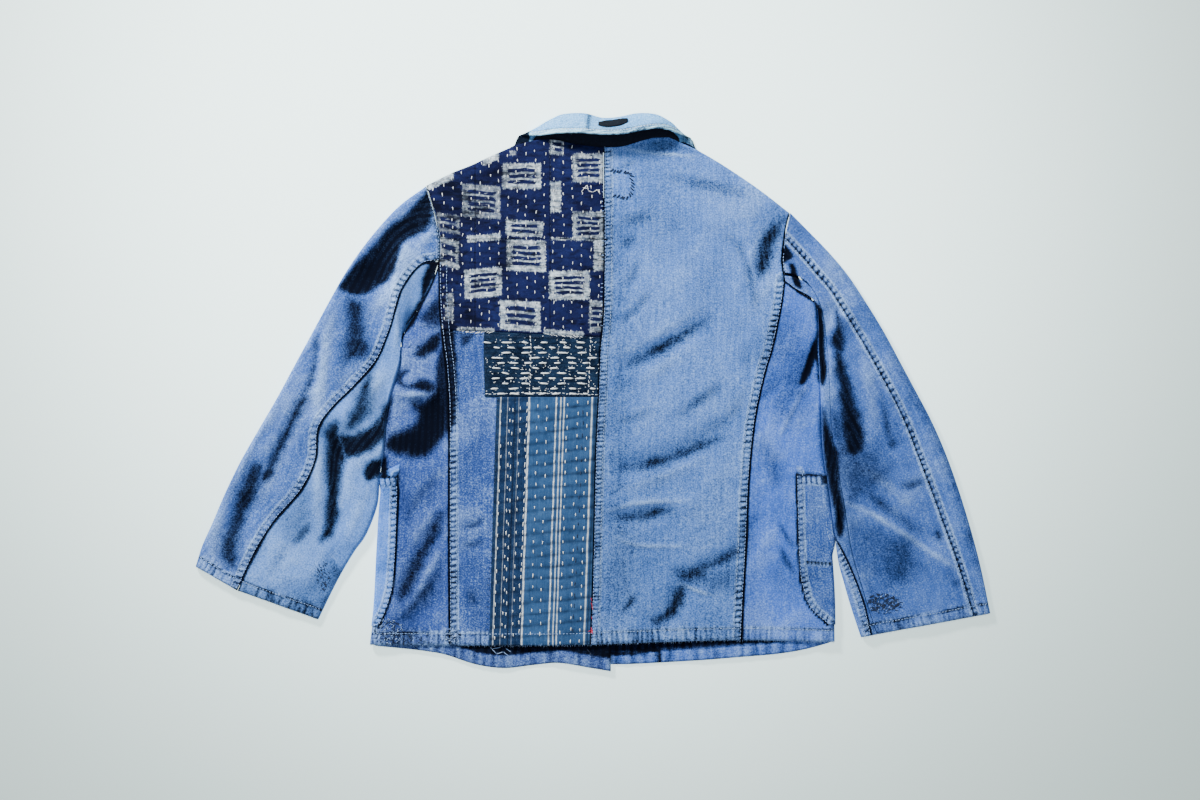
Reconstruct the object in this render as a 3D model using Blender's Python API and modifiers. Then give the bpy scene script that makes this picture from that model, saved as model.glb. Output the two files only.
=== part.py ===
"""Patched work jacket, laid flat on its front with the back up.

Metres in the scene, millimetres in the tables. +X runs to the viewer's right,
+Y toward the collar and +Z up from the surface that the jacket lies on.
"""

import math

import bmesh
import bpy
import numpy as np
from mathutils import Vector

MM = 0.001

# Cloth
CLOTH = 1.6  # wall of the body cloth, with its nap
PATCH = 1.0  # wall of the sewn-on patches
COLLAR = 2.4  # two plies turned together
GAP = 0.3  # between neighbouring pieces
SEAM = 0.28  # each edge stands this far back from its seam line
FLOOR = 0.0

# Lay
BACK_HEIGHT = 5.2  # middle of the back's cloth over the surface
LAP_HEIGHT = 7.6  # the same over the button lap
SIDE_HEIGHT = 9.0  # the same beside the side folds
LAYER_ROOM = 1.3  # between the walls of the two layers, at least
LAP_LIFT = 4.0  # left front over the buttons and the right front
UNDER_LIFT = CLOTH + GAP  # a front over its pocket
COLLAR_LIFT = COLLAR + GAP  # a front over the turned-down collar
ROLL_STEPS = (60, 30, 0, -30, -60)  # degrees round a fold
SHOULDER_TURNS = (64, 43, 22)  # the same on each side of a shoulder seam
PLAIN_ROWS = (4.0, 2.0, 0.0)  # below the neck's edge, where there's no roll
EDGE_ROWS = 6.0  # height of the run that holds them
NECK_MIDDLE = 16.0  # x
BODY_MIDDLE = 10.0
HEM_LEVEL = -338.0

# Where the layers rise over what lies under them: start, run to full height
COLLAR_UNDER_FROM, COLLAR_UNDER_RUN = 205.0, 25.0  # y
COLLAR_UNDER_ASIDE, COLLAR_UNDER_EASE = 215.0, 60.0  # from the neck's middle
POCKET_UNDER_FROM, POCKET_UNDER_EASE = 30.0, 25.0  # past the pocket's hidden edge
POCKET_UNDER_TOP, POCKET_UNDER_RUN = -75.0, 30.0  # y
LAP_FROM, LAP_RUN = -75.0, 40.0  # x
NECK_RISE, NECK_ASIDE, NECK_RUN = 2.6, 150.0, 40.0
LAP_WIDTH, LAP_EASE = 110.0, 60.0
SIDE_WIDTH, SIDE_EASE = 95.0, 80.0
FRONT_SHARED = 12.0  # past a front's edge, where the back still clears it
ARMPIT_EASE = 25.0  # over the armpit, from the fold's roll to the plain seam
FOLD_INSET = 8.0  # from a side fold, where its heights are taken

# Side seams, side folds and centre back: a row for each height
LEFT_SIDE = (  # y, fold, seam
    (-338, -300, -193),
    (-290, -294, -193.5),
    (-215, -290, -194),
    (-150, -286, -194),
    (-88, -279, -194),
    (-36, -275, -194),
    (0, -268, -195),
    (39, -256, -198),
    (70, -258, -202),
    (100, -258, -205),
    (140, -258, -207),
    (178, -258, -207),
)
RIGHT_SIDE = (  # y, fold, seam
    (-335, 325, 200),
    (-271, 324, 203),
    (-198, 319, 207),
    (-142, 314, 209),
    (-85, 306, 213),
    (-28, 304, 220),
    (26, 302, 232),
    (62, 300, 242.5),
    (101, 300, 251),
    (123, 297, 255),
    (151, 297, 258.5),
)
CENTRE_BACK = (  # y, seam
    (-340, -4),
    (-250, -1),
    (-165, 1),
    (-77, 3),
    (4, 7),
    (58, 9),
    (126, 14),
    (333, 14),
)
PATCH_LINES = (  # y, left edge of the sashiko patch, left edge of the striped patch
    (-340, -152, -140),
    (-165, -149, -135),
    (-5, -146, -130),
    (77, -147, -128),
    (333, -130, -100),
)

# Armholes, a row for each height
BACK_ARMHOLE_LEFT = ((178, -207), (196, -206), (220, -208), (246, -214), (278, -224))
BACK_ARMHOLE_RIGHT = ((151, 258.5), (178, 255), (211, 258), (242, 265))
FRONT_ARMHOLE_LEFT = (
    (70, -258),
    (82, -244),
    (110, -226),
    (150, -213),
    (215, -209),
    (278, -224),
)
FRONT_ARMHOLE_RIGHT = (
    (123, 297),
    (135, 286),
    (160, 273),
    (190, 263),
    (215, 260),
    (242, 265),
)
UNDERARM_LEFT = ((70, -258), (85, -252), (115, -234), (147, -217), (178, -207))
UNDERARM_RIGHT = ((123, 297), (136, 273), (151, 258.5))

# Top edges, x then y
BACK_TOP = (
    (-224, 278),
    (-188, 296),
    (-163, 306),
    (-126, 323),
    (-84, 339),
    (-53, 341),
    (-24, 335),
    (9, 331),
    (40, 332),
    (63, 339),
    (88, 345),
    (100, 345),
    (117, 338),
    (146, 324),
    (184, 301),
    (225, 273),
    (265, 242),
)
FRONT_TOP_LEFT = (
    (-224, 278),
    (-188, 296),
    (-163, 306),
    (-126, 323),
    (-84, 339),
    (-60, 308),
    (-35, 280),
    (-8, 264),
    (26, 258),
)
FRONT_TOP_RIGHT = (
    (-28, 258),
    (5, 262),
    (40, 268),
    (70, 285),
    (95, 308),
    (117, 338),
    (146, 324),
    (184, 301),
    (225, 273),
    (265, 242),
)

# Hems, x then y
BACK_HEM = (
    (-301, -339),
    (-193, -340),
    (-65, -340),
    (-4, -339),
    (77, -336),
    (200, -333),
    (325, -335),
)
FRONT_HEM_LEFT = (
    (-301, -340),
    (-207, -351),
    (-158, -366),
    (-120, -371),
    (-80, -367),
    (-46, -364),
    (-1, -371),
    (26, -375.4),
)
FRONT_HEM_RIGHT = (
    (-28, -364),
    (35, -366),
    (86, -364),
    (151, -360),
    (200, -356),
    (247, -352),
    (284, -346),
    (325, -335),
)
FRONT_EDGE_LEFT = 24.0
FRONT_EDGE_RIGHT = -26.0
COLLAR_SHOULDER = (-84, 117)  # x where the shoulders meet the neck
SHOULDER_START, SHOULDER_EASE = 4.0, 14.0  # from there, where the edge begins to roll

# Joins between the patches
UPPER_JOIN = 79.0
UPPER_JOIN_SLOPE = -0.05
UPPER_JOIN_X = -65.0
LOWER_JOIN = -5.0

# Sleeves: a row for each section from the armhole to the cuff
LEFT_SLEEVE = (  # outer x, outer y, elbow seam x, y, inner x, inner y, height
    (-224, 278, -207, 178, -259, 74, 7),
    (-262, 250, -232, 172, -263.5, 60, 11),
    (-300, 208, -256, 140, -261, 42, 13),
    (-331, 165, -268, 101, -268, 14, 14),
    (-352, 128, -277, 75, -276, -12, 14),
    (-378, 80, -292, 42, -280, -40, 14),
    (-404, 32, -322, 8, -283, -80, 14),
    (-425, -7, -350, -20, -288, -112, 14),
    (-450, -50, -369, -49, -291, -150, 13),
    (-474, -92, -373, -90, -306, -190, 12),
    (-495, -135, -392, -130, -322, -213, 11),
    (-512, -175, -428, -172, -340, -243, 10),
    (-526, -206, -455, -215, -355, -272, 9),
    (-535, -234, -479, -266, -371, -305, 8),
)
RIGHT_SLEEVE = (
    (265, 242, 258, 211, 299, 127, 7),
    (292, 215, 280, 187, 303.5, 115, 11),
    (318, 188, 300, 163, 304.5, 100, 13),
    (343, 158, 321, 138, 304.5, 82, 13),
    (367, 122, 343, 103, 304.5, 58, 13),
    (392, 81, 366, 65, 306, 25, 13),
    (414, 40, 387, 27, 308, -25, 13),
    (435, 1, 407, -10, 310.5, -80, 12),
    (455, -37, 424, -47, 318, -130, 12),
    (474, -80, 441, -91, 325, -180, 11),
    (492, -130, 458, -135, 331, -225, 10),
    (508, -182, 475, -182, 339, -256, 10),
    (522, -235, 493, -232, 349, -290, 9),
    (535, -297, 514, -301, 362, -329, 8),
)
ARMPIT_ASIDE = 1.2  # from the body fold to the sleeve, at the armpit
ARMPIT_ABOVE = {-1: 7.0, 1: 3.0}
HEAD_REACH = 0.24  # share of the sleeve that follows the curve of the armhole
LEFT_FRONT_SEAM = 0.78  # of the way under from the outer fold to the inner fold
RIGHT_FRONT_SEAM = 1.866  # on the upper side, where 1 is the elbow seam and 2 the inner fold
HEAD_SWING = 0.38
SLEEVE_ROOM = 1.2  # between the walls of a sleeve's two layers, at least
SEAM_SWING = 0.5  # share of the sleeve over which the front seam swings
SEAM_WIDTH, SEAM_SPREAD = 0.006, 0.036  # of that seam, in places, and more at the head
ELBOW_UNDER = 1.003  # place of the under sleeve's edge at the elbow seam
LEFT_ELBOW = (0.996, 1.004)  # places of the left sleeve's two edges there
RIGHT_ELBOW = 0.985
HEAD_JOINED = 0.12  # share of the sleeve whose lower layer follows the front
HEAD_BLEND = 0.16  # and whose upper layer follows the back
INNER_FROM_OUTER, INNER_FROM_INNER = 0.12, 1.88  # places where a fold's arc begins

# Pockets: a row for each height
LEFT_POCKET = ((-315, -288), (-281, -274), (-239, -267), (-113, -262))  # y, side edge
RIGHT_POCKET = ((-312, 316), (-289, 292), (-262, 282), (-224, 277), (-109, 274))
POCKET_REACH = 172.0  # under the front, from the side fold
POCKET_MIDDLE = -200.0  # y
POCKET_LEAST = 1.12  # columns of the wing that a pocket covers, at least

# Collar: a row for each section round the neck, from the left front end to the right.
# The turn is the way from the stand to the fall: 90 up, -90 down.
COLLAR_SECTIONS = (  # neck x, y, z, roll x, y, z, edge x, y, z, turn
    (-34, 284, 3.9, -30, 302, 2.55, -74, 238, 1.2, -90),
    (-58, 311, 3.9, -42, 326, 2.55, -104, 268, 1.2, -90),
    (-77, 333, 3.9, -56, 345, 2.6, -112, 304, 1.2, -95),
    (-77, 336, 4.8, -56, 349, 3.2, -104, 339.5, 1.5, -115),
    (-79, 342.5, 6.2, -64, 359, 6.4, -95, 347.5, 5.6, -175),
    (-66, 344, 7.6, -54, 367, 10, -76, 346, 18, -225),
    (-46, 343.5, 8.8, -40, 373, 11, -46, 348, 33, -262),
    (-22, 336, 9.0, -12, 374, 12, -18, 348, 39, -270),
    (10, 332.5, 9.2, 12, 368, 12, 12, 346, 40, -270),
    (42, 334, 9.2, 34, 369, 12, 42, 347, 39, -270),
    (66, 341, 9.0, 60, 374, 12, 66, 352, 37, -270),
    (90, 346.5, 8.6, 84, 373, 11, 90, 355, 31, -278),
    (106, 345.5, 7.4, 98, 366, 9.5, 110, 351, 17, -315),
    (115, 343, 6.2, 106, 357, 6.4, 126, 345, 5.6, -365),
    (113, 339, 4.8, 98, 351, 3.2, 135, 338.5, 2.0, -415),
    (109, 333, 3.9, 94, 344, 2.55, 146, 302, 1.2, -445),
    (90, 311, 3.9, 76, 324, 2.55, 138, 268, 1.2, -450),
    (66, 288, 3.9, 60, 304, 2.55, 106, 238, 1.2, -450),
)
PLY_OFFSET = 1.4  # stand and fall each lie this far from the roll's middle
SIDE_OFFSET = 3.5  # and this much more beside the neck
TAB_FROM, TAB_TO = 8.0, 46.0  # x of the tab's ends
TAB_MIDDLE = 0.75  # down the fall, counted in its rows
TAB_HALF = 0.42
TAB_END = 0.45  # of that, at its ends
NECK_SECTIONS = slice(6, 22)  # of the collar, across the back of the neck
STAND_ROOM = 1.5  # from the stand's upper edge to the fall
STAND_SHARES = (0.0, 0.5, 1.0)
FALL_SHARES = (0.0, 0.33, 0.66, 1.0)
COLLAR_STEPS = 27
FALL_CROWN = 1.5
PATCH_ROOM = 0.05  # more than the gap, between a patch and its panel
TRIM_ROOM = 0.1  # the same under the tab and the pockets

BUTTON_HEIGHTS = (188, 80, -30, -140)
BUTTON_ACROSS = 17.0
BUTTON_THICK = 1.8

# Largest folds: ridges up, troughs down
FOLDS = (  # start x, y, end x, y, half width, height
    (-292, 176, -258, 205, 22, -5.0),
    (-330, 150, -285, 150, 20, -4.5),
    (-262, 200, -263, 110, 14, 5.0),
    (-412, -66, -470, -175, 12, -4.0),
    (-285, -15, -345, -84, 14, -5.0),
    (-300, -20, -365, -40, 16, 5.0),
    (-352, -60, -346, -170, 15, -4.0),
    (322, 110, 305, 30, 12, -5.0),
    (330, 95, 324, 40, 10, 5.0),
    (330, -145, 410, -190, 16, 4.0),
    (355, -120, 450, -200, 14, -3.0),
    (-233, 100, -214, 95, 14, -3.5),
    (-258, 5, -215, 4, 13, 3.0),
    (-250, -30, -200, -50, 20, -3.5),
    (-205, -165, -240, -240, 16, -3.0),
    (-210, -215, -240, -275, 14, 2.5),
    (31, 32, 158, 98, 16, -2.2),
    (20, -110, 170, -55, 16, -2.2),
    (16, -150, 130, -150, 14, 2.5),
    (85, -305, 180, -225, 16, -2.6),
    (225, 225, 252, 165, 16, -3.0),
)


def smooth(value):
    """Eases from 0 to 1."""
    part = min(1.0, max(0.0, value))
    return part * part * (3.0 - 2.0 * part)


def along(rows, at, column=1):
    """The value of one column of a table where its first column is at, on a smooth curve."""
    keys = [row[0] for row in rows]
    values = [row[column] for row in rows]
    if at <= keys[0]:
        return values[0]
    if at >= keys[-1]:
        return values[-1]
    i = max(k for k in range(len(keys) - 1) if keys[k] <= at)
    step = keys[i + 1] - keys[i]
    part = (at - keys[i]) / step
    before = max(i - 1, 0)
    after = min(i + 2, len(keys) - 1)
    slope_a = (values[i + 1] - values[before]) / (keys[i + 1] - keys[before]) * step
    slope_b = (values[after] - values[i]) / (keys[after] - keys[i]) * step
    squared, cubed = part * part, part**3
    return (
        (2 * cubed - 3 * squared + 1) * values[i]
        + (cubed - 2 * squared + part) * slope_a
        + (3 * squared - 2 * cubed) * values[i + 1]
        + (cubed - squared) * slope_b
    )


def mix(a, b, part):
    return a + (b - a) * part


def row_at(rows, share):
    """A table read as a smooth run of sections, from 0 at the first to 1 at the last."""
    count = len(rows) - 1
    numbered = [(k / count,) + tuple(row) for k, row in enumerate(rows)]
    return [along(numbered, share, column) for column in range(1, len(rows[0]) + 1)]


def folds_at(x, y):
    """Height that the folds add at a place."""
    total = 0.0
    for x0, y0, x1, y1, half_width, height in FOLDS:
        run = math.hypot(x1 - x0, y1 - y0)
        share = ((x - x0) * (x1 - x0) + (y - y0) * (y1 - y0)) / run**2
        clear = ((x - x0) * (y1 - y0) - (y - y0) * (x1 - x0)) / run
        past = max(0.0, -share, share - 1.0) * run
        reach = math.hypot(clear, past) / half_width
        if reach < 2.5:
            total += height * math.exp(-reach * reach)
    return total


def fold_line(side, y):
    return along(LEFT_SIDE if side < 0 else RIGHT_SIDE, y, 1)


def seam_line(side, y):
    return along(LEFT_SIDE if side < 0 else RIGHT_SIDE, y, 2)


def armpit(side):
    return 70.0 if side < 0 else 123.0


def back_side(side, y):
    """Side seam, then armhole of the back."""
    rows = BACK_ARMHOLE_LEFT if side < 0 else BACK_ARMHOLE_RIGHT
    return seam_line(side, y) if y < rows[0][0] else along(rows, y)


def low_height(side, x, y):
    """Middle of the lower layer over the surface."""
    height = FLOOR + CLOTH / 2
    aside = abs(x - NECK_MIDDLE)
    over_collar = smooth((y - COLLAR_UNDER_FROM) / COLLAR_UNDER_RUN)
    over_collar = over_collar * smooth((COLLAR_UNDER_ASIDE - aside) / COLLAR_UNDER_EASE)
    height = height + COLLAR_LIFT * over_collar
    inward = -side * (x - fold_line(side, y))
    past = POCKET_REACH + POCKET_UNDER_FROM - inward
    over_pocket = smooth(past / POCKET_UNDER_EASE)
    over_pocket = over_pocket * smooth((POCKET_UNDER_TOP - y) / POCKET_UNDER_RUN)
    height = height + UNDER_LIFT * over_pocket
    if side < 0:
        height = height + LAP_LIFT * smooth((x - LAP_FROM) / LAP_RUN)
    return height


def top_height(x, y):
    """Middle of the upper layer over the surface, where the jacket is flat."""
    side = -1 if x < BODY_MIDDLE else 1
    lap_middle = (FRONT_EDGE_LEFT + FRONT_EDGE_RIGHT) / 2
    lap = smooth((LAP_WIDTH - abs(x - lap_middle)) / LAP_EASE)
    height = BACK_HEIGHT + (LAP_HEIGHT - BACK_HEIGHT) * lap
    neck = smooth((y - COLLAR_UNDER_FROM) / NECK_RUN)
    neck = neck * smooth((NECK_ASIDE - abs(x - NECK_MIDDLE)) / NECK_RUN)
    height = height + NECK_RISE * neck
    to_fold = side * (fold_line(side, y) - x)
    height = height + (SIDE_HEIGHT - BACK_HEIGHT) * smooth((SIDE_WIDTH - to_fold) / SIDE_EASE)
    layers = [-1] if x < FRONT_EDGE_RIGHT - FRONT_SHARED else [-1, 1]
    if x > FRONT_EDGE_LEFT + FRONT_SHARED:
        layers = [1]
    lowest = max(low_height(layer, x, y) for layer in layers) + CLOTH + LAYER_ROOM
    raised = height + folds_at(x, y)
    return max(raised, lowest)


def rolled(edge, inward, high, low, angle):
    """A point round a fold: place along inward, then height."""
    half = (high - low) / 2
    turn = math.radians(angle)
    return edge + inward * half * (1 - math.cos(turn)), low + half + half * math.sin(turn)


def build_grid(rows):
    """A bmesh grid moved onto rows of points."""
    points = np.array(rows)
    across = points.shape[1]
    down = points.shape[0]
    mesh = bmesh.new()
    bmesh.ops.create_grid(mesh, x_segments=across - 1, y_segments=down - 1, size=1.0)
    mesh.verts.ensure_lookup_table()
    for number, vert in enumerate(mesh.verts):
        vert.co = Vector(points[number // across][number % across]) * MM
    return mesh


def material(name, colour, roughness):
    made = bpy.data.materials.new(name)
    made.use_nodes = True
    shader = made.node_tree.nodes["Principled BSDF"]
    shader.inputs["Base Color"].default_value = (*colour, 1.0)
    shader.inputs["Roughness"].default_value = roughness
    return made


def piece(name, grids, wall, surface):
    """One cut piece: its grids are joined at shared edges and given the cloth's wall."""
    joined = bmesh.new()
    for rows in grids:
        part = build_grid(rows)
        held = bpy.data.meshes.new("part")
        part.to_mesh(held)
        part.free()
        joined.from_mesh(held)
        bpy.data.meshes.remove(held)
    bmesh.ops.remove_doubles(joined, verts=joined.verts, dist=0.00001)
    bmesh.ops.recalc_face_normals(joined, faces=joined.faces)
    mesh = bpy.data.meshes.new(name)
    joined.to_mesh(mesh)
    joined.free()
    made = bpy.data.objects.new(name, mesh)
    jacket.objects.link(made)
    made.data.materials.append(surface)
    shell = made.modifiers.new("wall", "SOLIDIFY")
    shell.thickness = wall * MM
    shell.offset = 0.0
    return made


def normals_of(points):
    """Unit normals of a grid of points, by the run of its rows and columns."""
    grid = np.array(points, dtype=float)
    down = np.gradient(grid, axis=0)
    across = np.gradient(grid, axis=1)
    normal = np.cross(across, down)
    return normal / np.linalg.norm(normal, axis=2, keepdims=True)


def moved_out(points, normals, distance):
    return np.array(points) + normals * distance


def spread(counts):
    """Shares between main lines: (line number, share) pairs for each column."""
    columns = []
    for line, count in enumerate(counts):
        columns += [(line, k / count) for k in range(count)]
    return columns + [(len(counts) - 1, 1.0)]


def top_found(rows, x_at):
    """The height at which a column, whose x changes with height, meets a top edge."""
    top = 280.0
    for _ in range(40):
        top = mix(top, along(rows, x_at(top)) - SEAM / 2, 0.5)
    return top


# ---------------------------------------------------------------- back

def edge_roll(x):
    """1 on the shoulders, where back and front meet round the edge, 0 at the neck."""
    left, right = COLLAR_SHOULDER
    return smooth((left - SHOULDER_START - x) / SHOULDER_EASE) + smooth(
        (x - right - SHOULDER_START) / SHOULDER_EASE
    )


def back_lines(side, y):
    """The main lines of a back half at one height, from the centre outward."""
    centre = along(CENTRE_BACK, y)
    outer = back_side(side, y)
    if side > 0:
        return [centre + SEAM, outer - SEAM]
    return [
        centre - SEAM,
        along(PATCH_LINES, y, 2),
        along(PATCH_LINES, y, 1),
        outer + SEAM,
    ]


def back_column(side, line, share, heights):
    """Points of one column from the hem to the top edge."""

    def x_at(y):
        lines = back_lines(side, y)
        return mix(lines[line], lines[line + 1], share)

    top = top_found(BACK_TOP, x_at)
    upper_join = UPPER_JOIN + UPPER_JOIN_SLOPE * (x_at(UPPER_JOIN) - UPPER_JOIN_X)
    joins = [along(BACK_HEM, x_at(HEM_LEVEL)), LOWER_JOIN, upper_join, top - EDGE_ROWS]
    column = []
    for part, share_up in heights:
        y = mix(joins[part], joins[part + 1], share_up)
        column.append((x_at(y), y, top_height(x_at(y), y)))
    high = column[-1][2]
    low = low_height(side, x_at(top), top)
    roll = edge_roll(x_at(top))
    for plain, angle in zip(PLAIN_ROWS, SHOULDER_TURNS):
        place, height = rolled(top, -1, high, low, angle)
        y = mix(top - plain, place, roll)
        column.append((x_at(y), y, mix(high, height, roll)))
    return column


BACK_HEIGHTS = (
    [(0, k / 10) for k in range(10)]
    + [(1, k / 3) for k in range(3)]
    + [(2, k / 8) for k in range(9)]
)
JOIN_ROW_LOW = 10
JOIN_ROW_HIGH = 13


def back_grid(side):
    counts = (5, 1, 3) if side < 0 else (8,)
    columns = [back_column(side, *place, BACK_HEIGHTS) for place in spread(counts)]
    grid = np.array(columns).transpose(1, 0, 2)
    return grid[:, ::-1] if side < 0 else grid


# ---------------------------------------------------------------- fronts

def fold_section(side, y):
    """A side fold at one height: its x, the heights of its two layers, and half their step."""
    fold = fold_line(side, y)
    high = top_height(fold - side * FOLD_INSET, y)
    low = low_height(side, fold - side * FOLD_INSET, y)
    return fold, high, low, (high - low) / 2


def wing_x(side, y, share):
    """x of the run that shows, from the side seam (0) to the fold (1)."""
    fold, _, _, half = fold_section(side, min(y, armpit(side)))
    return mix(seam_line(side, y) + side * SEAM, fold - side * half, share)


def front_wing(side, rows_low, columns_top):
    """The run that shows, from the side seam to the fold."""
    underarm = UNDERARM_LEFT if side < 0 else UNDERARM_RIGHT
    underarm_by_x = sorted((x, y) for y, x in underarm)
    limit = armpit(side)
    grid = [[] for _ in rows_low]
    for share in columns_top:
        ceiling = mix(underarm[-1][0], limit, share)
        for _ in range(20):
            reached = along(underarm_by_x, wing_x(side, ceiling, share)) - SEAM
            ceiling = mix(ceiling, reached, 0.5)
        ceiling = max(ceiling, limit)
        hem_x = mix(seam_line(side, HEM_LEVEL), fold_line(side, HEM_LEVEL), share)
        for row, share_up in zip(grid, rows_low):
            y = mix(along(BACK_HEM, hem_x), ceiling, share_up)
            x = wing_x(side, y, share)
            high = fold_section(side, min(y, limit))[1]
            row.append((x, y, high if share == 1.0 else top_height(x, y)))
    return grid


def fold_column(side, y, angle):
    fold, high, low, _ = fold_section(side, y)
    x, z = rolled(fold, -side, high, low, angle)
    return (x, y, z)


def front_low(side, rows_low, rows_high, columns):
    """The run under the back, from the fold and armhole to the front edge."""
    limit = armpit(side)
    hole = FRONT_ARMHOLE_LEFT if side < 0 else FRONT_ARMHOLE_RIGHT
    hems = FRONT_HEM_LEFT if side < 0 else FRONT_HEM_RIGHT
    tops = FRONT_TOP_LEFT if side < 0 else FRONT_TOP_RIGHT
    edge = FRONT_EDGE_LEFT if side < 0 else FRONT_EDGE_RIGHT

    def x_at(y, share):
        fold, _, _, half = fold_section(side, min(y, limit))
        inset = mix(half, SEAM, smooth((y - limit) / ARMPIT_EASE))
        start = (fold if y <= limit else along(hole, y)) - side * inset
        return mix(start, edge, share)

    columns_made = []
    for share in columns:
        if share == 0.0:
            hem = along(BACK_HEM, fold_line(side, HEM_LEVEL))
        else:
            hem = along(hems, x_at(HEM_LEVEL, share))
        top = top_found(tops, lambda y, share=share: x_at(y, share))
        heights = [mix(hem, limit, share_up) for share_up in rows_low]
        heights += [mix(limit, top - EDGE_ROWS, share_up) for share_up in rows_high]
        column = []
        for y in heights:
            x = x_at(y, share)
            column.append((x, y, low_height(side, x, y)))
        x = x_at(top, share)
        low = low_height(side, x, top - EDGE_ROWS)
        high = top_height(x, top - EDGE_ROWS)
        roll = edge_roll(x)
        for plain, angle in zip(PLAIN_ROWS, SHOULDER_TURNS):
            place, height = rolled(top, -1, high, low, -angle)
            column.append((x, mix(top - plain, place, roll), mix(low, height, roll)))
        columns_made.append(column)
    return [list(row) for row in zip(*columns_made)]


FRONT_ROWS_LOW = [k / 13 for k in range(14)]
FRONT_ROWS_HIGH = [k / 6 for k in range(1, 7)]
FRONT_COLUMNS = [k / 6 for k in range(7)]
WING_COLUMNS = [k / 4 for k in range(5)]


def front_grids(side):
    """The lower run, and the wing with the fold between them."""
    low = front_low(side, FRONT_ROWS_LOW, FRONT_ROWS_HIGH, FRONT_COLUMNS)
    wing = front_wing(side, FRONT_ROWS_LOW, WING_COLUMNS)
    for number, row in enumerate(wing):
        y = row[-1][1]
        row += [fold_column(side, y, angle) for angle in ROLL_STEPS]
        row.append(low[number][0])
    return low, wing


def between(grid, row, column):
    """A point of a grid at fractional row and column numbers."""
    i = min(int(row), grid.shape[0] - 2)
    j = min(int(column), grid.shape[1] - 2)
    a = mix(grid[i, j], grid[i, j + 1], column - j)
    b = mix(grid[i + 1, j], grid[i + 1, j + 1], column - j)
    return mix(a, b, row - i)


def share_where(values, target):
    """The fractional number at which a rising or falling run reaches a value."""
    numbers = list(range(len(values)))
    if values[-1] < values[0]:
        values, numbers = values[::-1], numbers[::-1]
    return float(np.interp(target, values, numbers))


def pocket_grid(side, low, wing):
    """Points of the front under the pocket, from its side edge round the fold to its hidden edge."""
    count = len(FRONT_ROWS_LOW)
    front = np.array([wing[k] + low[k][1:] for k in range(count)])
    table = LEFT_POCKET if side < 0 else RIGHT_POCKET
    fold_number = len(WING_COLUMNS) + 2
    heights = front[:, fold_number, 1]
    first = share_where(heights, table[0][0])
    last = share_where(heights, table[-1][0])
    row_numbers = [first] + [k for k in range(count) if first + 0.2 < k < last - 0.2] + [last]
    hidden_x = fold_line(side, POCKET_MIDDLE) - side * POCKET_REACH
    hidden = fold_number + share_where(front[4, fold_number:, 0], hidden_x)
    grid = []
    for number in row_numbers:
        y = float(between(front, number, fold_number)[1])
        line = [float(between(front, number, k)[0]) for k in range(len(WING_COLUMNS))]
        start = share_where(line, along(table, y))
        start = min(start, len(WING_COLUMNS) - POCKET_LEAST)
        shared = [start, (start + len(WING_COLUMNS) - 1) / 2]
        shared += list(range(len(WING_COLUMNS) - 1, int(hidden) + 1)) + [hidden]
        grid.append([between(front, number, column) for column in shared])
    return np.array(grid)


# ---------------------------------------------------------------- sleeves

def swapped(rows):
    """A table of height and x as x and y points, from the top down."""
    return [(x, y) for y, x in rows[::-1]]


HEAD_EASE = {  # how soon the sleeve leaves the curve of the armhole
    (-1, "outer"): 1.6,
    (-1, "inner"): 3.0,
    (-1, "low"): 6.0,
    (1, "outer"): 1.6,
    (1, "inner"): 4.0,
    (1, "low"): 3.0,
}
HEADS = {  # the armhole, from the shoulder tip down, for each run of the sleeve
    (-1, "outer"): swapped(BACK_ARMHOLE_LEFT),
    (-1, "inner"): swapped(UNDERARM_LEFT),
    (-1, "low"): swapped(FRONT_ARMHOLE_LEFT),
    (1, "outer"): swapped(BACK_ARMHOLE_RIGHT[2:]),
    (1, "inner"): swapped(UNDERARM_RIGHT[:-1] + BACK_ARMHOLE_RIGHT[:3]),
    (1, "low"): swapped(FRONT_ARMHOLE_RIGHT),
}


def on_line(points, share):
    """A point a share of the way along a run of points."""
    lengths = [0.0]
    for a, b in zip(points, points[1:]):
        lengths.append(lengths[-1] + math.hypot(b[0] - a[0], b[1] - a[1]))
    at = share * lengths[-1]
    x = float(np.interp(at, lengths, [point[0] for point in points]))
    y = float(np.interp(at, lengths, [point[1] for point in points]))
    return x, y


def sleeve_point(side, rows, share, place, layer):
    """place runs from the outer fold (0) by the elbow seam (1) to the inner fold (2) on the
    upper layer, and from the outer fold (0) to the inner fold (2) on the lower one."""
    ox, oy, sx, sy, ix, iy, lift = row_at(rows, share)
    first = rows[0]
    outer, seam, inner = first[0:2], first[2:4], first[4:6]
    if layer == "low":
        x, y = mix(ox, ix, place / 2), mix(oy, iy, place / 2)
        part, ends, kind = place / 2, (outer, inner), "low"
    elif place <= 1:
        x, y = mix(ox, sx, place), mix(oy, sy, place)
        part, ends, kind = place, (outer, seam), "outer"
    else:
        x, y = mix(sx, ix, place - 1), mix(sy, iy, place - 1)
        part, ends, kind = place - 1, (seam, inner), "inner"
    head = on_line(HEADS[(side, kind)], part)
    reach = max(0.0, 1.0 - share / HEAD_REACH) ** HEAD_EASE[(side, kind)]
    near = smooth((part - 0.6) / 0.4) if kind != "outer" else 0.0
    head_x = head[0] + side * (ARMPIT_ASIDE * near + 3 * SEAM)
    head_y = head[1] + ARMPIT_ABOVE[side] * near
    x += (head_x - mix(ends[0][0], ends[1][0], part)) * reach
    y += (head_y - mix(ends[0][1], ends[1][1], part)) * reach
    if layer == "low":
        joined = 1 - smooth(share / HEAD_JOINED)
        return x, y, mix(CLOTH / 2, low_height(side, x, y), joined)
    plain = lift + folds_at(x, y)
    height = mix(top_height(x, y), plain, smooth(share / HEAD_BLEND))
    return x, y, max(height, CLOTH * 1.5 + SLEEVE_ROOM)


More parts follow.
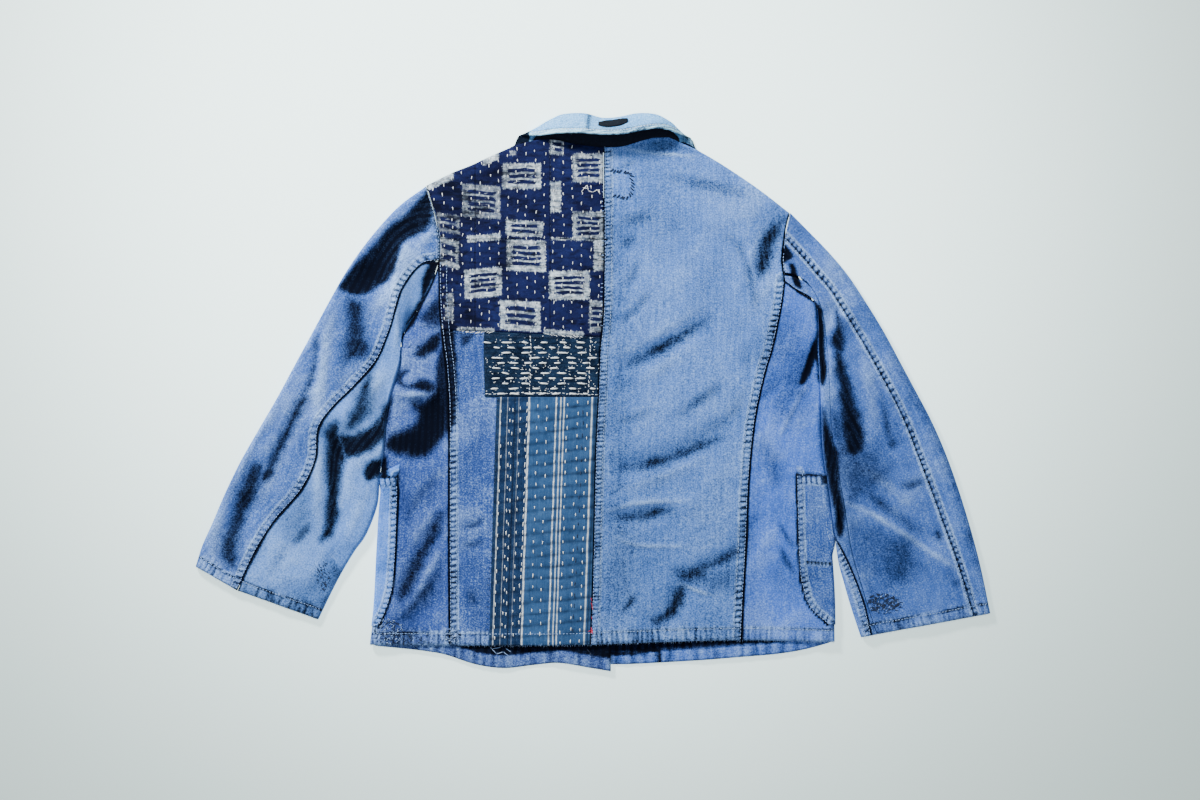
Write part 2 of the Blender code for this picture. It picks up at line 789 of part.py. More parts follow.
def front_seam(share):
    """Places of the two edges of the right sleeve's front seam, which swings in at the head."""
    swing = 1 - smooth(share / SEAM_SWING)
    edge = RIGHT_FRONT_SEAM - HEAD_SWING * swing
    return edge - SEAM_WIDTH - SEAM_SPREAD * swing, edge


def sleeve_ring(side, rows, share, stops):
    """One row of points round part of the sleeve. Each stop is (where, place)."""
    ring = []
    for where, place in stops:
        if where == "to_seam":
            where, place = "top", mix(ELBOW_UNDER, front_seam(share)[0], place)
        elif where == "at_seam":
            where, place = "top", front_seam(share)[1]
        if where in ("top", "low"):
            ring.append(sleeve_point(side, rows, share, place, where))
            continue
        edge_place = 0.0 if where == "outer" else 2.0
        inner_place = INNER_FROM_OUTER if where == "outer" else INNER_FROM_INNER
        upper = np.array(sleeve_point(side, rows, share, edge_place, "top"))
        lower = np.array(sleeve_point(side, rows, share, edge_place, "low"))
        toward = np.array(sleeve_point(side, rows, share, inner_place, "top")) - upper
        toward[2] = 0.0
        toward = toward / np.linalg.norm(toward)
        high = sleeve_point(side, rows, share, inner_place, "top")[2]
        low = lower[2]
        half = (high - low) / 2
        turn = math.radians(place)
        spot = (upper + lower) / 2 + toward * half * (1 - math.cos(turn))
        ring.append((spot[0], spot[1], low + half + half * math.sin(turn)))
    return ring


ARC = [("outer", angle) for angle in (90, *ROLL_STEPS, -90)]
ARC_INNER = [("inner", angle) for angle in (90, *ROLL_STEPS, -90)]
SLEEVE_ROWS = [k / 13 for k in range(14)]


def sleeve_grid(side, rows, stops):
    return [sleeve_ring(side, rows, share, stops) for share in SLEEVE_ROWS]


# ---------------------------------------------------------------- scene

for existing in list(bpy.data.objects):
    bpy.data.objects.remove(existing, do_unlink=True)

jacket = bpy.data.collections.new("patched_boro_jacket")
bpy.context.scene.collection.children.link(jacket)

faded_blue = material("faded_blue_twill", (0.13, 0.22, 0.46), 0.9)
pale_blue = material("pale_collar_twill", (0.34, 0.46, 0.66), 0.9)
dark_lining = material("dark_under_collar", (0.02, 0.03, 0.06), 0.9)
navy_kasuri = material("navy_kasuri", (0.02, 0.03, 0.10), 0.9)
navy_sashiko = material("navy_sashiko", (0.02, 0.04, 0.09), 0.9)
blue_stripe = material("blue_stripe", (0.05, 0.13, 0.25), 0.9)
horn = material("button_horn", (0.08, 0.05, 0.03), 0.5)

left_back = back_grid(-1)
right_back = back_grid(1)
piece("back_left", [left_back], CLOTH, faded_blue)
piece("back_right", [right_back], CLOTH, faded_blue)

for side, word in ((-1, "left"), (1, "right")):
    low, wing = front_grids(side)
    piece(f"front_{word}", [low, wing], CLOTH, faded_blue)
    base = pocket_grid(side, low, wing)
    facing = normals_of(base)
    if facing[4, 0, 2] < 0:
        facing = -facing
    distance = CLOTH / 2 + GAP + TRIM_ROOM + PATCH / 2
    piece(f"pocket_{word}", [moved_out(base, facing, distance)], PATCH, faded_blue)

out = CLOTH / 2 + GAP + PATCH_ROOM + PATCH / 2
left_normals = normals_of(left_back)
covered = moved_out(left_back, left_normals, out)
kasuri = covered[JOIN_ROW_HIGH:, :]
sashiko = covered[JOIN_ROW_LOW : JOIN_ROW_HIGH + 1, 3:].copy()
stripe = covered[: JOIN_ROW_LOW + 1, 4:].copy()
sashiko[-1, :, 1] -= GAP + TRIM_ROOM
stripe[-1, :, 1] -= GAP + TRIM_ROOM
piece("patch_kasuri", [kasuri], PATCH, navy_kasuri)
piece("patch_sashiko", [sashiko], PATCH, navy_sashiko)
piece("patch_stripe", [stripe], PATCH, blue_stripe)

left_hidden = 2 * LEFT_FRONT_SEAM
left_top = [("top", LEFT_ELBOW[0]), ("top", 0.75), ("top", 0.5), ("top", 0.25), *ARC]
left_top += [("low", left_hidden * share) for share in (0.25, 0.5, 0.75)]
left_top += [("low", left_hidden - SEAM_WIDTH / 2)]
left_under = [("top", LEFT_ELBOW[1]), ("top", 1.3), ("top", 1.6), *ARC_INNER]
left_under += [("low", left_hidden + SEAM_WIDTH / 2)]
right_top = [("top", RIGHT_ELBOW), ("top", 0.6), *ARC]
right_top += [("low", place) for place in (0.35, 0.7, 1.05, 1.4, 1.7)]
right_top += [*ARC_INNER[::-1], ("at_seam", 0)]
right_under = [("to_seam", share / 5) for share in range(6)]
for name, side, rows, stops in (
    ("sleeve_left_top", -1, LEFT_SLEEVE, left_top),
    ("sleeve_left_under", -1, LEFT_SLEEVE, left_under),
    ("sleeve_right_top", 1, RIGHT_SLEEVE, right_top),
    ("sleeve_right_under", 1, RIGHT_SLEEVE, right_under),
):
    piece(name, [sleeve_grid(side, rows, stops)], CLOTH, faded_blue)

# ---------------------------------------------------------------- collar


def collar_point(section, outward):
    """The roll's point, moved toward the stand (-1) or the fall (1)."""
    turn = math.radians(section[9])
    aside = Vector((math.cos(turn), 0.0, math.sin(turn)))
    return Vector(section[3:6]) + aside * (PLY_OFFSET + SIDE_OFFSET * abs(aside.x)) * outward


def stand_row(section):
    neck = Vector(section[0:3])
    top = collar_point(section, -1)
    top = top - (top - neck).normalized() * STAND_ROOM
    return [tuple(neck.lerp(top, share)) for share in STAND_SHARES]


def fall_row(section, share_round):
    top = collar_point(section, 1)
    edge = Vector(section[6:9])
    crown = FALL_CROWN * math.sin(math.pi * share_round) ** 2
    row = []
    for share in FALL_SHARES:
        point = top.lerp(edge, share)
        point.z = max(point.z + crown * math.sin(math.pi * share), COLLAR / 2)
        row.append(tuple(point))
    return row


sections = [row_at(COLLAR_SECTIONS, k / COLLAR_STEPS) for k in range(COLLAR_STEPS + 1)]
stand = [stand_row(section) for section in sections]
fall = [fall_row(section, k / COLLAR_STEPS) for k, section in enumerate(sections)]
piece("collar_stand", [stand], COLLAR, dark_lining)
piece("collar_fall", [fall], COLLAR, pale_blue)

fall_points = np.array(fall)
fall_facing = normals_of(fall_points)
if fall_facing[COLLAR_STEPS // 2, 1, 2] < 0:
    fall_facing = -fall_facing
over_fall = moved_out(fall_points, fall_facing, COLLAR / 2 + GAP + TRIM_ROOM + PATCH / 2)
back_part = over_fall[NECK_SECTIONS]
tab_rows = []
for share in (0.0, 0.25, 0.5, 0.75, 1.0):
    number = share_where(back_part[:, 1, 0], mix(TAB_FROM, TAB_TO, share))
    half = TAB_HALF * mix(TAB_END, 1.0, math.sin(math.pi * share))
    places = [TAB_MIDDLE - half, TAB_MIDDLE, TAB_MIDDLE + half]
    tab_rows.append([between(back_part, number, place) for place in places])
piece("collar_tab", [np.array(tab_rows)], PATCH, dark_lining)

# ---------------------------------------------------------------- buttons

for number, height in enumerate(BUTTON_HEIGHTS, 1):
    disc = bmesh.new()
    bmesh.ops.create_cone(
        disc,
        cap_ends=True,
        segments=12,
        radius1=BUTTON_ACROSS / 2 * MM,
        radius2=BUTTON_ACROSS / 2 * MM,
        depth=BUTTON_THICK * MM,
    )
    middle = CLOTH + GAP + BUTTON_THICK / 2
    bmesh.ops.translate(disc, verts=disc.verts, vec=Vector((0.0, height, middle)) * MM)
    mesh = bpy.data.meshes.new(f"button_{number}")
    disc.to_mesh(mesh)
    disc.free()
    made = bpy.data.objects.new(f"button_{number}", mesh)
    jacket.objects.link(made)
    made.data.materials.append(horn)
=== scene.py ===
# %% [markdown]
# # A patched boro work jacket
#
# A washed cotton work jacket lies on its front, its back up. It is drawn here the way it
# is sewn: two back halves, two fronts whose sides turn up round the body, two-piece
# sleeves, a stand and a fall for the collar, and old indigo patches over the left back.
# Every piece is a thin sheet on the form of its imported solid, so the sizes below are the
# solids' own, in millimetres.

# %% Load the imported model
import math

import bmesh
import bpy
import numpy as np
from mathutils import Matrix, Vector
from mathutils.bvhtree import BVHTree


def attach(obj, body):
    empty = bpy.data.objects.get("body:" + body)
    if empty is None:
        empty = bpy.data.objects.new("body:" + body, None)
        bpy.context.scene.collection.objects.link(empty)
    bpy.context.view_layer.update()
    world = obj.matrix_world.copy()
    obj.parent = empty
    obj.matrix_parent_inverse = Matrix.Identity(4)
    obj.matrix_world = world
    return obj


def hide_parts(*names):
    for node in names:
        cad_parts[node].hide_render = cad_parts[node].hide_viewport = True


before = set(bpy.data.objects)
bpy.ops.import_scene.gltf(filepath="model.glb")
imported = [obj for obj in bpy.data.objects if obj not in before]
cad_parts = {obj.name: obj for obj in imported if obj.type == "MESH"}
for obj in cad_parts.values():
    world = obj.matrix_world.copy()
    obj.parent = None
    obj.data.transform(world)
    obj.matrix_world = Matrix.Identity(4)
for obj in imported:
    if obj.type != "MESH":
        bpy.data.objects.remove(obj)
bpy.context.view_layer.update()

MM = 0.001

# %% [markdown]
# The camera looks straight down, so the jacket is seen as a flat drawing. A long lens keeps
# its edges from leaning. The camera comes first, because every later choice of detail
# depends on how large a millimetre looks.

# %% Camera
VIEW_MIDDLE = (9.45, -9.45)  # x and y under the lens
VIEW_WIDTH = 1620  # of floor across the view
LENS, FILM = 85, 36


def standing(name, data):
    """A new object in the scene."""
    made = bpy.data.objects.new(name, data)
    bpy.context.scene.collection.objects.link(made)
    return made


lens = bpy.data.cameras.new("camera")
lens.lens = LENS
lens.sensor_width = FILM
camera = standing("camera", lens)
camera_height = VIEW_WIDTH * LENS / FILM
camera.location = Vector((*VIEW_MIDDLE, camera_height)) * MM
bpy.context.scene.camera = camera
print("camera height, m:", round(camera_height * MM, 3))

# %% [markdown]
# The form is worked out from the same named sizes as the solids. Each table has one row for
# each section: the side folds and side seams, the armholes, the top edges and hems, the
# sleeves and the collar. A smooth curve through a table gives its value anywhere, so the
# same few rows serve a coarse solid and a fine sheet.

# %% Cloth and lay
CLOTH, PATCH, COLLAR = 1.6, 1, 2.4  # walls
GAP, SEAM = 0.3, 0.28
SNUG = {-1: 4.3, 1: 3.2}  # by which a side fold leans on the sleeve beside it
LEAN_SWELLS = {-1: (), 1: ((-188, 28, 2.3), (-96, 24, 1))}  # y, half width, more lean
SLEEVE_BESIDE = {-1: (62, -135), 1: (145, -222)}  # from which height down to which
BACK_HEIGHT, LAP_HEIGHT, SIDE_HEIGHT = 5.2, 7.6, 9
LAYER_ROOM, LAP_LIFT = 1.3, 4
EDGE_ROWS, FOLD_INSET = 6, 8
NECK_MIDDLE, BODY_MIDDLE, HEM_LEVEL = 16, 10, -338
FRONT_EDGE = {-1: 24, 1: -26}
ARMPIT = {-1: 70, 1: 123}
COLLAR_SHOULDER = (-84, 117)
LOWER_JOIN, UPPER_JOIN, UPPER_JOIN_SLOPE, UPPER_JOIN_X = -5, 79, -0.05, -65
POCKET_REACH = 172

# %% Tables of the body
def rows_of(text):
    """The rows of a table of plain numbers. A semicolon ends a row."""
    return [tuple(map(float, row.split())) for row in text.split(";")]


SIDES = {  # y, fold, seam
    -1: rows_of("""
-338 -300 -193; -290 -294 -193.5; -215 -290 -194; -150 -286 -194; -88 -279 -194;
-36 -275 -194; 0 -268 -195; 39 -256 -198; 70 -258 -202; 100 -258 -205; 140 -258 -207;
178 -258 -207"""),
    1: rows_of("""
-335 325 200; -271 324 203; -198 319 207; -142 314 209; -85 306 213; -28 304 220; 26 302 232;
62 300 242.5; 101 300 251; 123 297 255; 151 297 258.5"""),
}
# y, seam
CENTRE_BACK = rows_of("""
-340 -4; -250 -1; -165 1; -77 3; 4 7; 58 9; 126 14; 333 14""")
# y, left edge of the sashiko patch, left edge of the striped patch
PATCH_LINES = rows_of("""
-340 -152 -140; -165 -149 -135; -5 -146 -130; 77 -147 -128; 333 -130 -100""")
BACK_ARMHOLE = {  # y, x
    -1: rows_of("178 -207; 196 -206; 220 -208; 246 -214; 278 -224"),
    1: rows_of("151 258.5; 178 255; 211 258; 242 265"),
}
FRONT_ARMHOLE = {
    -1: rows_of("70 -258; 82 -244; 110 -226; 150 -213; 215 -209; 278 -224"),
    1: rows_of("123 300; 135 291; 160 276; 190 263; 215 260; 242 265"),
}
UNDERARM = {
    -1: rows_of("70 -258; 85 -252; 115 -234; 147 -217; 178 -207"),
    1: rows_of("123 299; 138 275; 151 258.5"),
}
# x, y
BACK_TOP = rows_of("""
-224 278; -188 296; -163 306; -126 323; -84 339; -53 341; -24 335; 9 331; 40 332; 63 339;
88 345; 100 345; 117 338; 146 324; 184 301; 225 273; 265 242""")
FRONT_TOP = {
    -1: rows_of("""
-224 278; -188 296; -163 306; -126 323; -84 339; -60 308; -35 280; -8 264; 26 258"""),
    1: rows_of("""
-28 258; 5 262; 40 268; 70 285; 95 308; 117 338; 146 324; 184 301; 225 273; 265 242"""),
}
BACK_HEM = rows_of("""
-301 -339; -193 -340; -65 -340; -4 -339; 77 -336; 200 -333; 325 -335""")
FRONT_HEM = {
    -1: rows_of("""
-301 -340; -207 -351; -158 -366; -120 -371; -80 -367; -46 -364; -1 -371; 26 -375.4"""),
    1: rows_of("-28 -364; 35 -366; 86 -364; 151 -360; 200 -356; 247 -352; 284 -346; 325 -335"),
}
POCKET_EDGE = {  # y, x
    -1: rows_of("-315 -288; -281 -274; -239 -267; -113 -262"),
    1: rows_of("-312 316; -289 292; -262 282; -224 277; -109 274"),
}

# %% Tables of the sleeves and the collar
SLEEVES = {  # outer x, y, elbow seam x, y, inner x, y, height
    -1: rows_of("""
-224 278 -207 178 -259 74 7; -262 250 -232 172 -263.5 60 11; -300 208 -256 140 -261 42 13;
-331 165 -268 101 -268 14 14; -352 128 -277 75 -276 -12 14; -378 80 -292 42 -280 -40 14;
-404 32 -322 8 -283 -80 14; -425 -7 -350 -20 -288 -112 14; -450 -50 -369 -49 -291 -150 13;
-474 -92 -373 -90 -306 -190 12; -495 -135 -392 -130 -322 -213 11;
-512 -175 -428 -172 -340 -243 10; -526 -206 -455 -215 -355 -272 9;
-535 -234 -479 -266 -371 -305 8"""),
    1: rows_of("""
265 242 258 211 299 127 7; 292 215 280 187 303.5 115 11; 318 188 300 163 304.5 100 13;
343 158 321 138 304.5 82 13; 367 122 343 103 304.5 58 13; 392 81 366 65 306 25 13;
414 40 387 27 308 -25 13; 435 1 407 -10 310.5 -80 12; 455 -37 424 -47 318 -130 12;
474 -80 441 -91 325 -180 11; 492 -130 458 -135 331 -225 10; 508 -182 475 -182 339 -256 10;
522 -235 493 -232 349 -290 9; 535 -297 514 -301 362 -329 8"""),
}
ARMPIT_ASIDE, ARMPIT_ABOVE = 1.2, {-1: 7, 1: 3}
HEAD_REACH, HEAD_JOINED, HEAD_BLEND = 0.24, 0.12, 0.16
HEAD_EASE = {
    (-1, "outer"): 1.6, (-1, "inner"): 3, (-1, "low"): 6,
    (1, "outer"): 1.6, (1, "inner"): 4, (1, "low"): 3,
}
LEFT_FRONT_SEAM, RIGHT_FRONT_SEAM, HEAD_SWING = 0.78, 1.866, 0.38
# neck x, y, z, roll x, y, z, edge x, y, z, turn
COLLAR_SECTIONS = rows_of("""
-34 284 3.9 -30 302 2.55 -74 238 1.2 -90; -58 311 3.9 -42 326 2.55 -104 268 1.2 -90;
-77 333 3.9 -56 345 2.6 -112 304 1.2 -95; -77 336 4.8 -56 349 3.2 -104 339.5 1.5 -115;
-79 342.5 6.2 -64 359 6.4 -95 347.5 5.6 -175; -66 344 7.6 -54 367 10 -76 346 18 -225;
-46 343.5 8.8 -40 373 11 -46 348 33 -262; -22 336 9 -12 374 12 -18 348 39 -270;
10 332.5 9.2 12 368 12 12 346 40 -270; 42 334 9.2 34 369 12 42 347 39 -270;
66 341 9 60 374 12 66 352 37 -270; 90 346.5 8.6 84 373 11 90 355 31 -278;
106 345.5 7.4 98 366 9.5 110 351 17 -315; 115 343 6.2 106 357 6.4 126 345 5.6 -365;
113 339 4.8 98 351 3.2 135 338.5 2 -415; 109 333 3.9 94 344 2.55 146 302 1.2 -445;
90 311 3.9 76 324 2.55 138 268 1.2 -450; 66 288 3.9 60 304 2.55 106 238 1.2 -450""")
PLY_OFFSET, SIDE_OFFSET, FALL_CROWN = 1.4, 3.5, 1.5

# %% Largest folds
# start x, y, end x, y, half width, height
FOLDS = rows_of("""
-292 176 -258 205 22 -5; -330 150 -285 150 20 -4.5; -262 200 -263 110 14 5;
-412 -66 -470 -175 12 -4; -285 -15 -345 -84 14 -5; -300 -20 -365 -40 16 5;
-352 -60 -346 -170 15 -4; 322 110 305 30 12 -5; 330 95 324 40 10 5; 330 -145 410 -190 16 4;
355 -120 450 -200 14 -3; -233 100 -214 95 14 -3.5; -258 5 -215 4 13 3;
-250 -30 -200 -50 20 -3.5; -205 -165 -240 -240 16 -3; -210 -215 -240 -275 14 2.5;
31 32 158 98 16 -2.2; 20 -110 170 -55 16 -2.2; 16 -150 130 -150 14 2.5;
85 -305 180 -225 16 -2.6; 225 225 252 165 16 -3""")

# %% [markdown]
# Reading the tables. `along` draws a smooth curve through a table, and works on whole
# arrays of places at once, so that a panel with tens of thousands of points takes a
# moment. `low_height` and `top_height` say how high the middle of the lower and the upper
# layer of cloth lies over the floor at any place.

# %% Curves and heights
def mix(a, b, part):
    return a + (b - a) * part


def bell(value, width, power=2):
    """1 where a value is 0, falling away on both sides within a width."""
    return np.exp(-((value / width) ** power))


def unit(vectors):
    return vectors / np.linalg.norm(vectors, axis=-1, keepdims=True)


def run_lengths(line):
    """How far each point of a line lies from its start."""
    return np.concatenate([[0], np.cumsum(np.hypot(*np.diff(line, axis=0).T))])


def eased(value):
    """Eases from 0 to 1."""
    part = np.clip(value, 0, 1)
    return part * part * (3 - 2 * part)


def along(rows, at, column=1):
    """One column of a table where its first column is at, on a smooth curve."""
    table = np.array(rows, dtype=float)
    keys, values = table[:, 0], table[:, column]
    at = np.clip(np.asarray(at, dtype=float), keys[0], keys[-1])
    i = np.clip(np.searchsorted(keys, at, side="right") - 1, 0, len(keys) - 2)
    before, after = np.maximum(i - 1, 0), np.minimum(i + 2, len(keys) - 1)
    step = keys[i + 1] - keys[i]
    part = (at - keys[i]) / step
    slope_a = (values[i + 1] - values[before]) / (keys[i + 1] - keys[before]) * step
    slope_b = (values[after] - values[i]) / (keys[after] - keys[i]) * step
    squared, cubed = part**2, part**3
    start = (2 * cubed - 3 * squared + 1) * values[i] + (cubed - 2 * squared + part) * slope_a
    return start + (3 * squared - 2 * cubed) * values[i + 1] + (cubed - squared) * slope_b


def row_at(rows, share):
    """A table read as a smooth run of sections, from 0 at the first to 1 at the last."""
    numbered = [(k / (len(rows) - 1), *row) for k, row in enumerate(rows)]
    return [along(numbered, share, column) for column in range(1, len(rows[0]) + 1)]


def folds_at(x, y):
    total = np.zeros(np.broadcast(x, y).shape)
    for x0, y0, x1, y1, half_width, height in FOLDS:
        run = math.hypot(x1 - x0, y1 - y0)
        share = ((x - x0) * (x1 - x0) + (y - y0) * (y1 - y0)) / run**2
        clear = ((x - x0) * (y1 - y0) - (y - y0) * (x1 - x0)) / run
        past = np.maximum(0, np.maximum(-share, share - 1)) * run
        total = total + height * np.exp(-(clear**2 + past**2) / half_width**2)
    return total


def low_height(side, x, y):
    """Middle of the lower layer over the floor."""
    over_collar = eased((y - 205) / 25) * eased((215 - abs(x - NECK_MIDDLE)) / 60)
    inward = -side * (x - along(SIDES[side], y, 1))
    over_pocket = eased((POCKET_REACH + 30 - inward) / 25) * eased((-75 - y) / 30)
    height = CLOTH / 2 + (COLLAR + GAP) * over_collar + (CLOTH + GAP) * over_pocket
    return height + (LAP_LIFT * eased((x + 75) / 40) if side < 0 else 0)


def top_height(x, y):
    """Middle of the upper layer over the floor, where the jacket is flat."""
    lap = eased((110 - abs(x + 1)) / 60)
    neck = eased((y - 205) / 40) * eased((150 - abs(x - NECK_MIDDLE)) / 40)
    to_fold = np.where(
        x < BODY_MIDDLE, x - along(SIDES[-1], y, 1), along(SIDES[1], y, 1) - x
    )
    height = BACK_HEIGHT + (LAP_HEIGHT - BACK_HEIGHT) * lap + 2.6 * neck
    height = height + (SIDE_HEIGHT - BACK_HEIGHT) * eased((95 - to_fold) / 80)
    left = np.where(x <= FRONT_EDGE[-1] + 12, low_height(-1, x, y), 0)
    right = np.where(x >= FRONT_EDGE[1] - 12, low_height(1, x, y), 0)
    lowest = np.maximum(left, right) + CLOTH + LAYER_ROOM
    return np.maximum(height + folds_at(x, y), lowest)


print("cloth over the floor at the middle of the back, mm:", round(float(top_height(60, 0)), 2))

# %% [markdown]
# Each piece is drawn column by column. A column runs from the hem to the top edge, and its
# points hold x, y, z and a fourth number, the share of the surface's small relief that the
# place takes: 1 where it faces up, 0 where it turns over an edge.

# %% Back halves
def edge_roll(x):
    """1 on the shoulders, where back and front meet round the edge, 0 at the neck."""
    left, right = COLLAR_SHOULDER
    return eased((left - 4 - x) / 14) + eased((x - right - 4) / 14)


def top_found(rows, x_at):
    """The height at which a column, whose x changes with height, meets a top edge."""
    top = 280
    for _ in range(40):
        top = mix(top, along(rows, x_at(top)) - SEAM / 2, 0.5)
    return top


def back_lines(side, y):
    """The main lines of a back half at one height, from the centre outward."""
    centre = along(CENTRE_BACK, y)
    armhole = BACK_ARMHOLE[side]
    outer = np.where(y < armhole[0][0], along(SIDES[side], y, 2), along(armhole, y))
    if side > 0:
        return [centre + SEAM, outer - SEAM]
    patches = [along(PATCH_LINES, y, 2), along(PATCH_LINES, y, 1)]
    return [centre - SEAM, *patches, outer + SEAM]


def edge_run(top, high, low, roll, part, sign):
    """The last rows under a top edge: y and height, flat at the neck, rolled elsewhere."""
    turn = sign * np.radians(90 - 68 * part)
    half = (high - low) / 2
    height = low + half + half * np.sin(turn)
    place = top - half * (1 - np.cos(turn)) - (EDGE_ROWS - abs(half)) * (1 - part) ** 2
    flat = high if sign > 0 else low
    return mix(top - EDGE_ROWS * (1 - part), place, roll), mix(flat, height, roll)


def back_column(side, across, up):
    """One column, where up is 0 at the hem, 1 and 2 at the joins and 4 on the top edge."""
    def x_at(y):
        lines = back_lines(side, y)
        line = min(int(across), len(lines) - 2)
        return mix(lines[line], lines[line + 1], across - line)

    top = top_found(BACK_TOP, x_at)
    upper_join = UPPER_JOIN + UPPER_JOIN_SLOPE * (x_at(UPPER_JOIN) - UPPER_JOIN_X)
    joins = [along(BACK_HEM, x_at(HEM_LEVEL)), LOWER_JOIN, upper_join, top - EDGE_ROWS]
    y = np.interp(np.minimum(up, 3), [0, 1, 2, 3], joins)
    z = top_height(x_at(y), y)
    high = top_height(x_at(joins[3]), joins[3])
    low = low_height(side, x_at(top), top)
    part = np.clip(up - 3, 0, 1)
    over_y, over_z = edge_run(top, high, low, edge_roll(x_at(top)), part, 1)
    y, z = np.where(up > 3, over_y, y), np.where(up > 3, over_z, z)
    return np.stack([x_at(y), y, z, 1 - eased(part) * 0.6], axis=-1)


def runs(*stops):
    """Evenly spaced numbers between stops: each stop is (end, count), after a first end."""
    numbers = [stops[0]]
    for end, count in stops[1:]:
        start = numbers[-1]
        numbers += [start + (end - start) * k / count for k in range(1, count + 1)]
    return np.array(numbers)


def back_sheet(side, across, up):
    columns = [back_column(side, place, up) for place in across]
    return np.stack(columns[::-1] if side < 0 else columns, axis=1)


# %% [markdown]
# The fronts. The jacket's fronts lie under the back, but their sides turn up round the
# body's side folds and show as a strip beside each side-back seam. So a front is two grids:
# a wing that shows, with the fold, and the run underneath, up to the button edge.

# %% Fronts
def fold_section(side, y):
    """A side fold at one height: its x, its two heights, and half their step."""
    top, bottom = SLEEVE_BESIDE[side]
    beside_sleeve = eased(top - y) * eased((y - bottom) / 20)
    lean = SNUG[side]
    for middle, width, more in LEAN_SWELLS[side]:
        lean = lean + more * bell(y - middle, width)
    fold = along(SIDES[side], y, 1) + side * lean * beside_sleeve
    high = top_height(fold - side * FOLD_INSET, y)
    low = low_height(side, fold - side * FOLD_INSET, y)
    return fold, high, low, (high - low) / 2


def wing_x(side, y, share):
    fold, _, _, half = fold_section(side, np.minimum(y, ARMPIT[side]))
    return mix(along(SIDES[side], y, 2) + side * SEAM, fold - side * half, share)


def wing_column(side, share, up):
    """From the side seam (0) to the fold (1)."""
    limit = ARMPIT[side]
    by_x = sorted((x, y) for y, x in UNDERARM[side])
    ceiling = mix(UNDERARM[side][-1][0], limit, np.asarray(share, dtype=float))
    for _ in range(20):
        ceiling = mix(ceiling, along(by_x, wing_x(side, ceiling, share)) - SEAM, 0.5)
    ceiling = np.maximum(ceiling, limit)
    ends = [along(SIDES[side], HEM_LEVEL, column) for column in (2, 1)]
    y = mix(along(BACK_HEM, mix(*ends, share)), ceiling, up)
    x = wing_x(side, y, share)
    high = fold_section(side, np.minimum(y, limit))[1]
    near_fold = eased((np.asarray(share) - 0.94) / 0.06)
    return np.stack([x, y, mix(top_height(x, y), high, near_fold), np.ones_like(x)], axis=-1)


def fold_column(side, angle, up):
    y = wing_column(side, 1, up)[:, 1]
    fold, high, low, half = fold_section(side, y)
    turn = math.radians(angle)
    x = fold - side * half * (1 - math.cos(turn))
    z = low + half + half * math.sin(turn)
    return np.stack([x, y, z, np.full_like(x, max(0, math.sin(turn)))], axis=-1)


def under_column(side, share, up):
    """From the fold or the armhole (0) to the front edge (1). up is 0 at the hem, 1 at the
    armpit, 2 below the top edge and 3 on it."""
    limit = ARMPIT[side]

    def x_at(y):
        fold, _, _, half = fold_section(side, np.minimum(y, limit))
        inset = mix(half, SEAM, eased((y - limit) / 7))
        start = np.where(y <= limit, fold, along(FRONT_ARMHOLE[side], y)) - side * inset
        return mix(start, FRONT_EDGE[side], share)

    hem = along(FRONT_HEM[side], x_at(HEM_LEVEL))
    if share == 0:
        hem = along(BACK_HEM, along(SIDES[side], HEM_LEVEL, 1))
    top = top_found(FRONT_TOP[side], x_at)
    y = np.interp(np.minimum(up, 2), [0, 1, 2], [hem, limit, top - EDGE_ROWS])
    z = low_height(side, x_at(y), y)
    x_top = x_at(top)
    low = low_height(side, x_top, top - EDGE_ROWS)
    high = top_height(x_top, top - EDGE_ROWS)
    over_y, over_z = edge_run(top, high, low, edge_roll(x_top), np.clip(up - 2, 0, 1), -1)
    x = np.where(up > 2, x_top, x_at(y))
    y, z = np.where(up > 2, over_y, y), np.where(up > 2, over_z, z)
    return np.stack([x, y, z, np.zeros_like(x)], axis=-1)


TURNS = np.linspace(90, -90, 13)


def front_sheets(side, wing_shares, under_shares, low_rows, high_rows):
    """The wing with its fold, and the run under the back. They share their last column."""
    under = [under_column(side, s, np.concatenate([low_rows, high_rows])) for s in under_shares]
    wing = [wing_column(side, s, low_rows) for s in wing_shares]
    wing += [fold_column(side, angle, low_rows) for angle in TURNS[1:-1]]
    wing.append(under[0][: len(low_rows)])
    return np.stack(wing, axis=1), np.stack(under, axis=1)


def normals_of(grid):
    """The normal at each point of a grid, as long as the area that the point stands for."""
    down, across = np.gradient(grid[..., :3], axis=0), np.gradient(grid[..., :3], axis=1)
    return np.cross(across, down)


def pocket_sheet(side, wing_steps, under_steps, row_count):
    """Points of the front under the pocket, from its side edge round the fold."""
    edge = POCKET_EDGE[side]
    hem = wing_column(side, 1, np.array([0]))[0, 1]
    first, last = [(edge[k][0] - hem) / (ARMPIT[side] - hem) for k in (0, -1)]
    up = np.linspace(first, last, row_count)
    y = mix(hem, ARMPIT[side], up)
    seam, fold = wing_x(side, y, 0), wing_x(side, y, 1)
    start = np.clip((along(edge, y) - seam) / (fold - seam), 0, 0.94)
    columns = [wing_column(side, mix(start, 1, s), up) for s in np.linspace(0, 1, wing_steps)]
    columns += [fold_column(side, angle, up) for angle in TURNS[1:-1]]
    full = abs(FRONT_EDGE[side] - along(SIDES[side], -200, 1))
    for share in np.linspace(0, POCKET_REACH / full, under_steps):
        columns.append(under_column(side, share, up))
    return np.stack(columns, axis=1)


# %% [markdown]
# The sleeves are two-piece: a wide upper sleeve and a narrow under sleeve, joined by the
# elbow seam that runs down the back of the arm, and a front seam. A place round the sleeve
# counts 0 at the outer fold, 1 at the elbow seam and 2 at the inner fold.

# %% Sleeves
def swapped(rows):
    return [(x, y) for y, x in rows[::-1]]


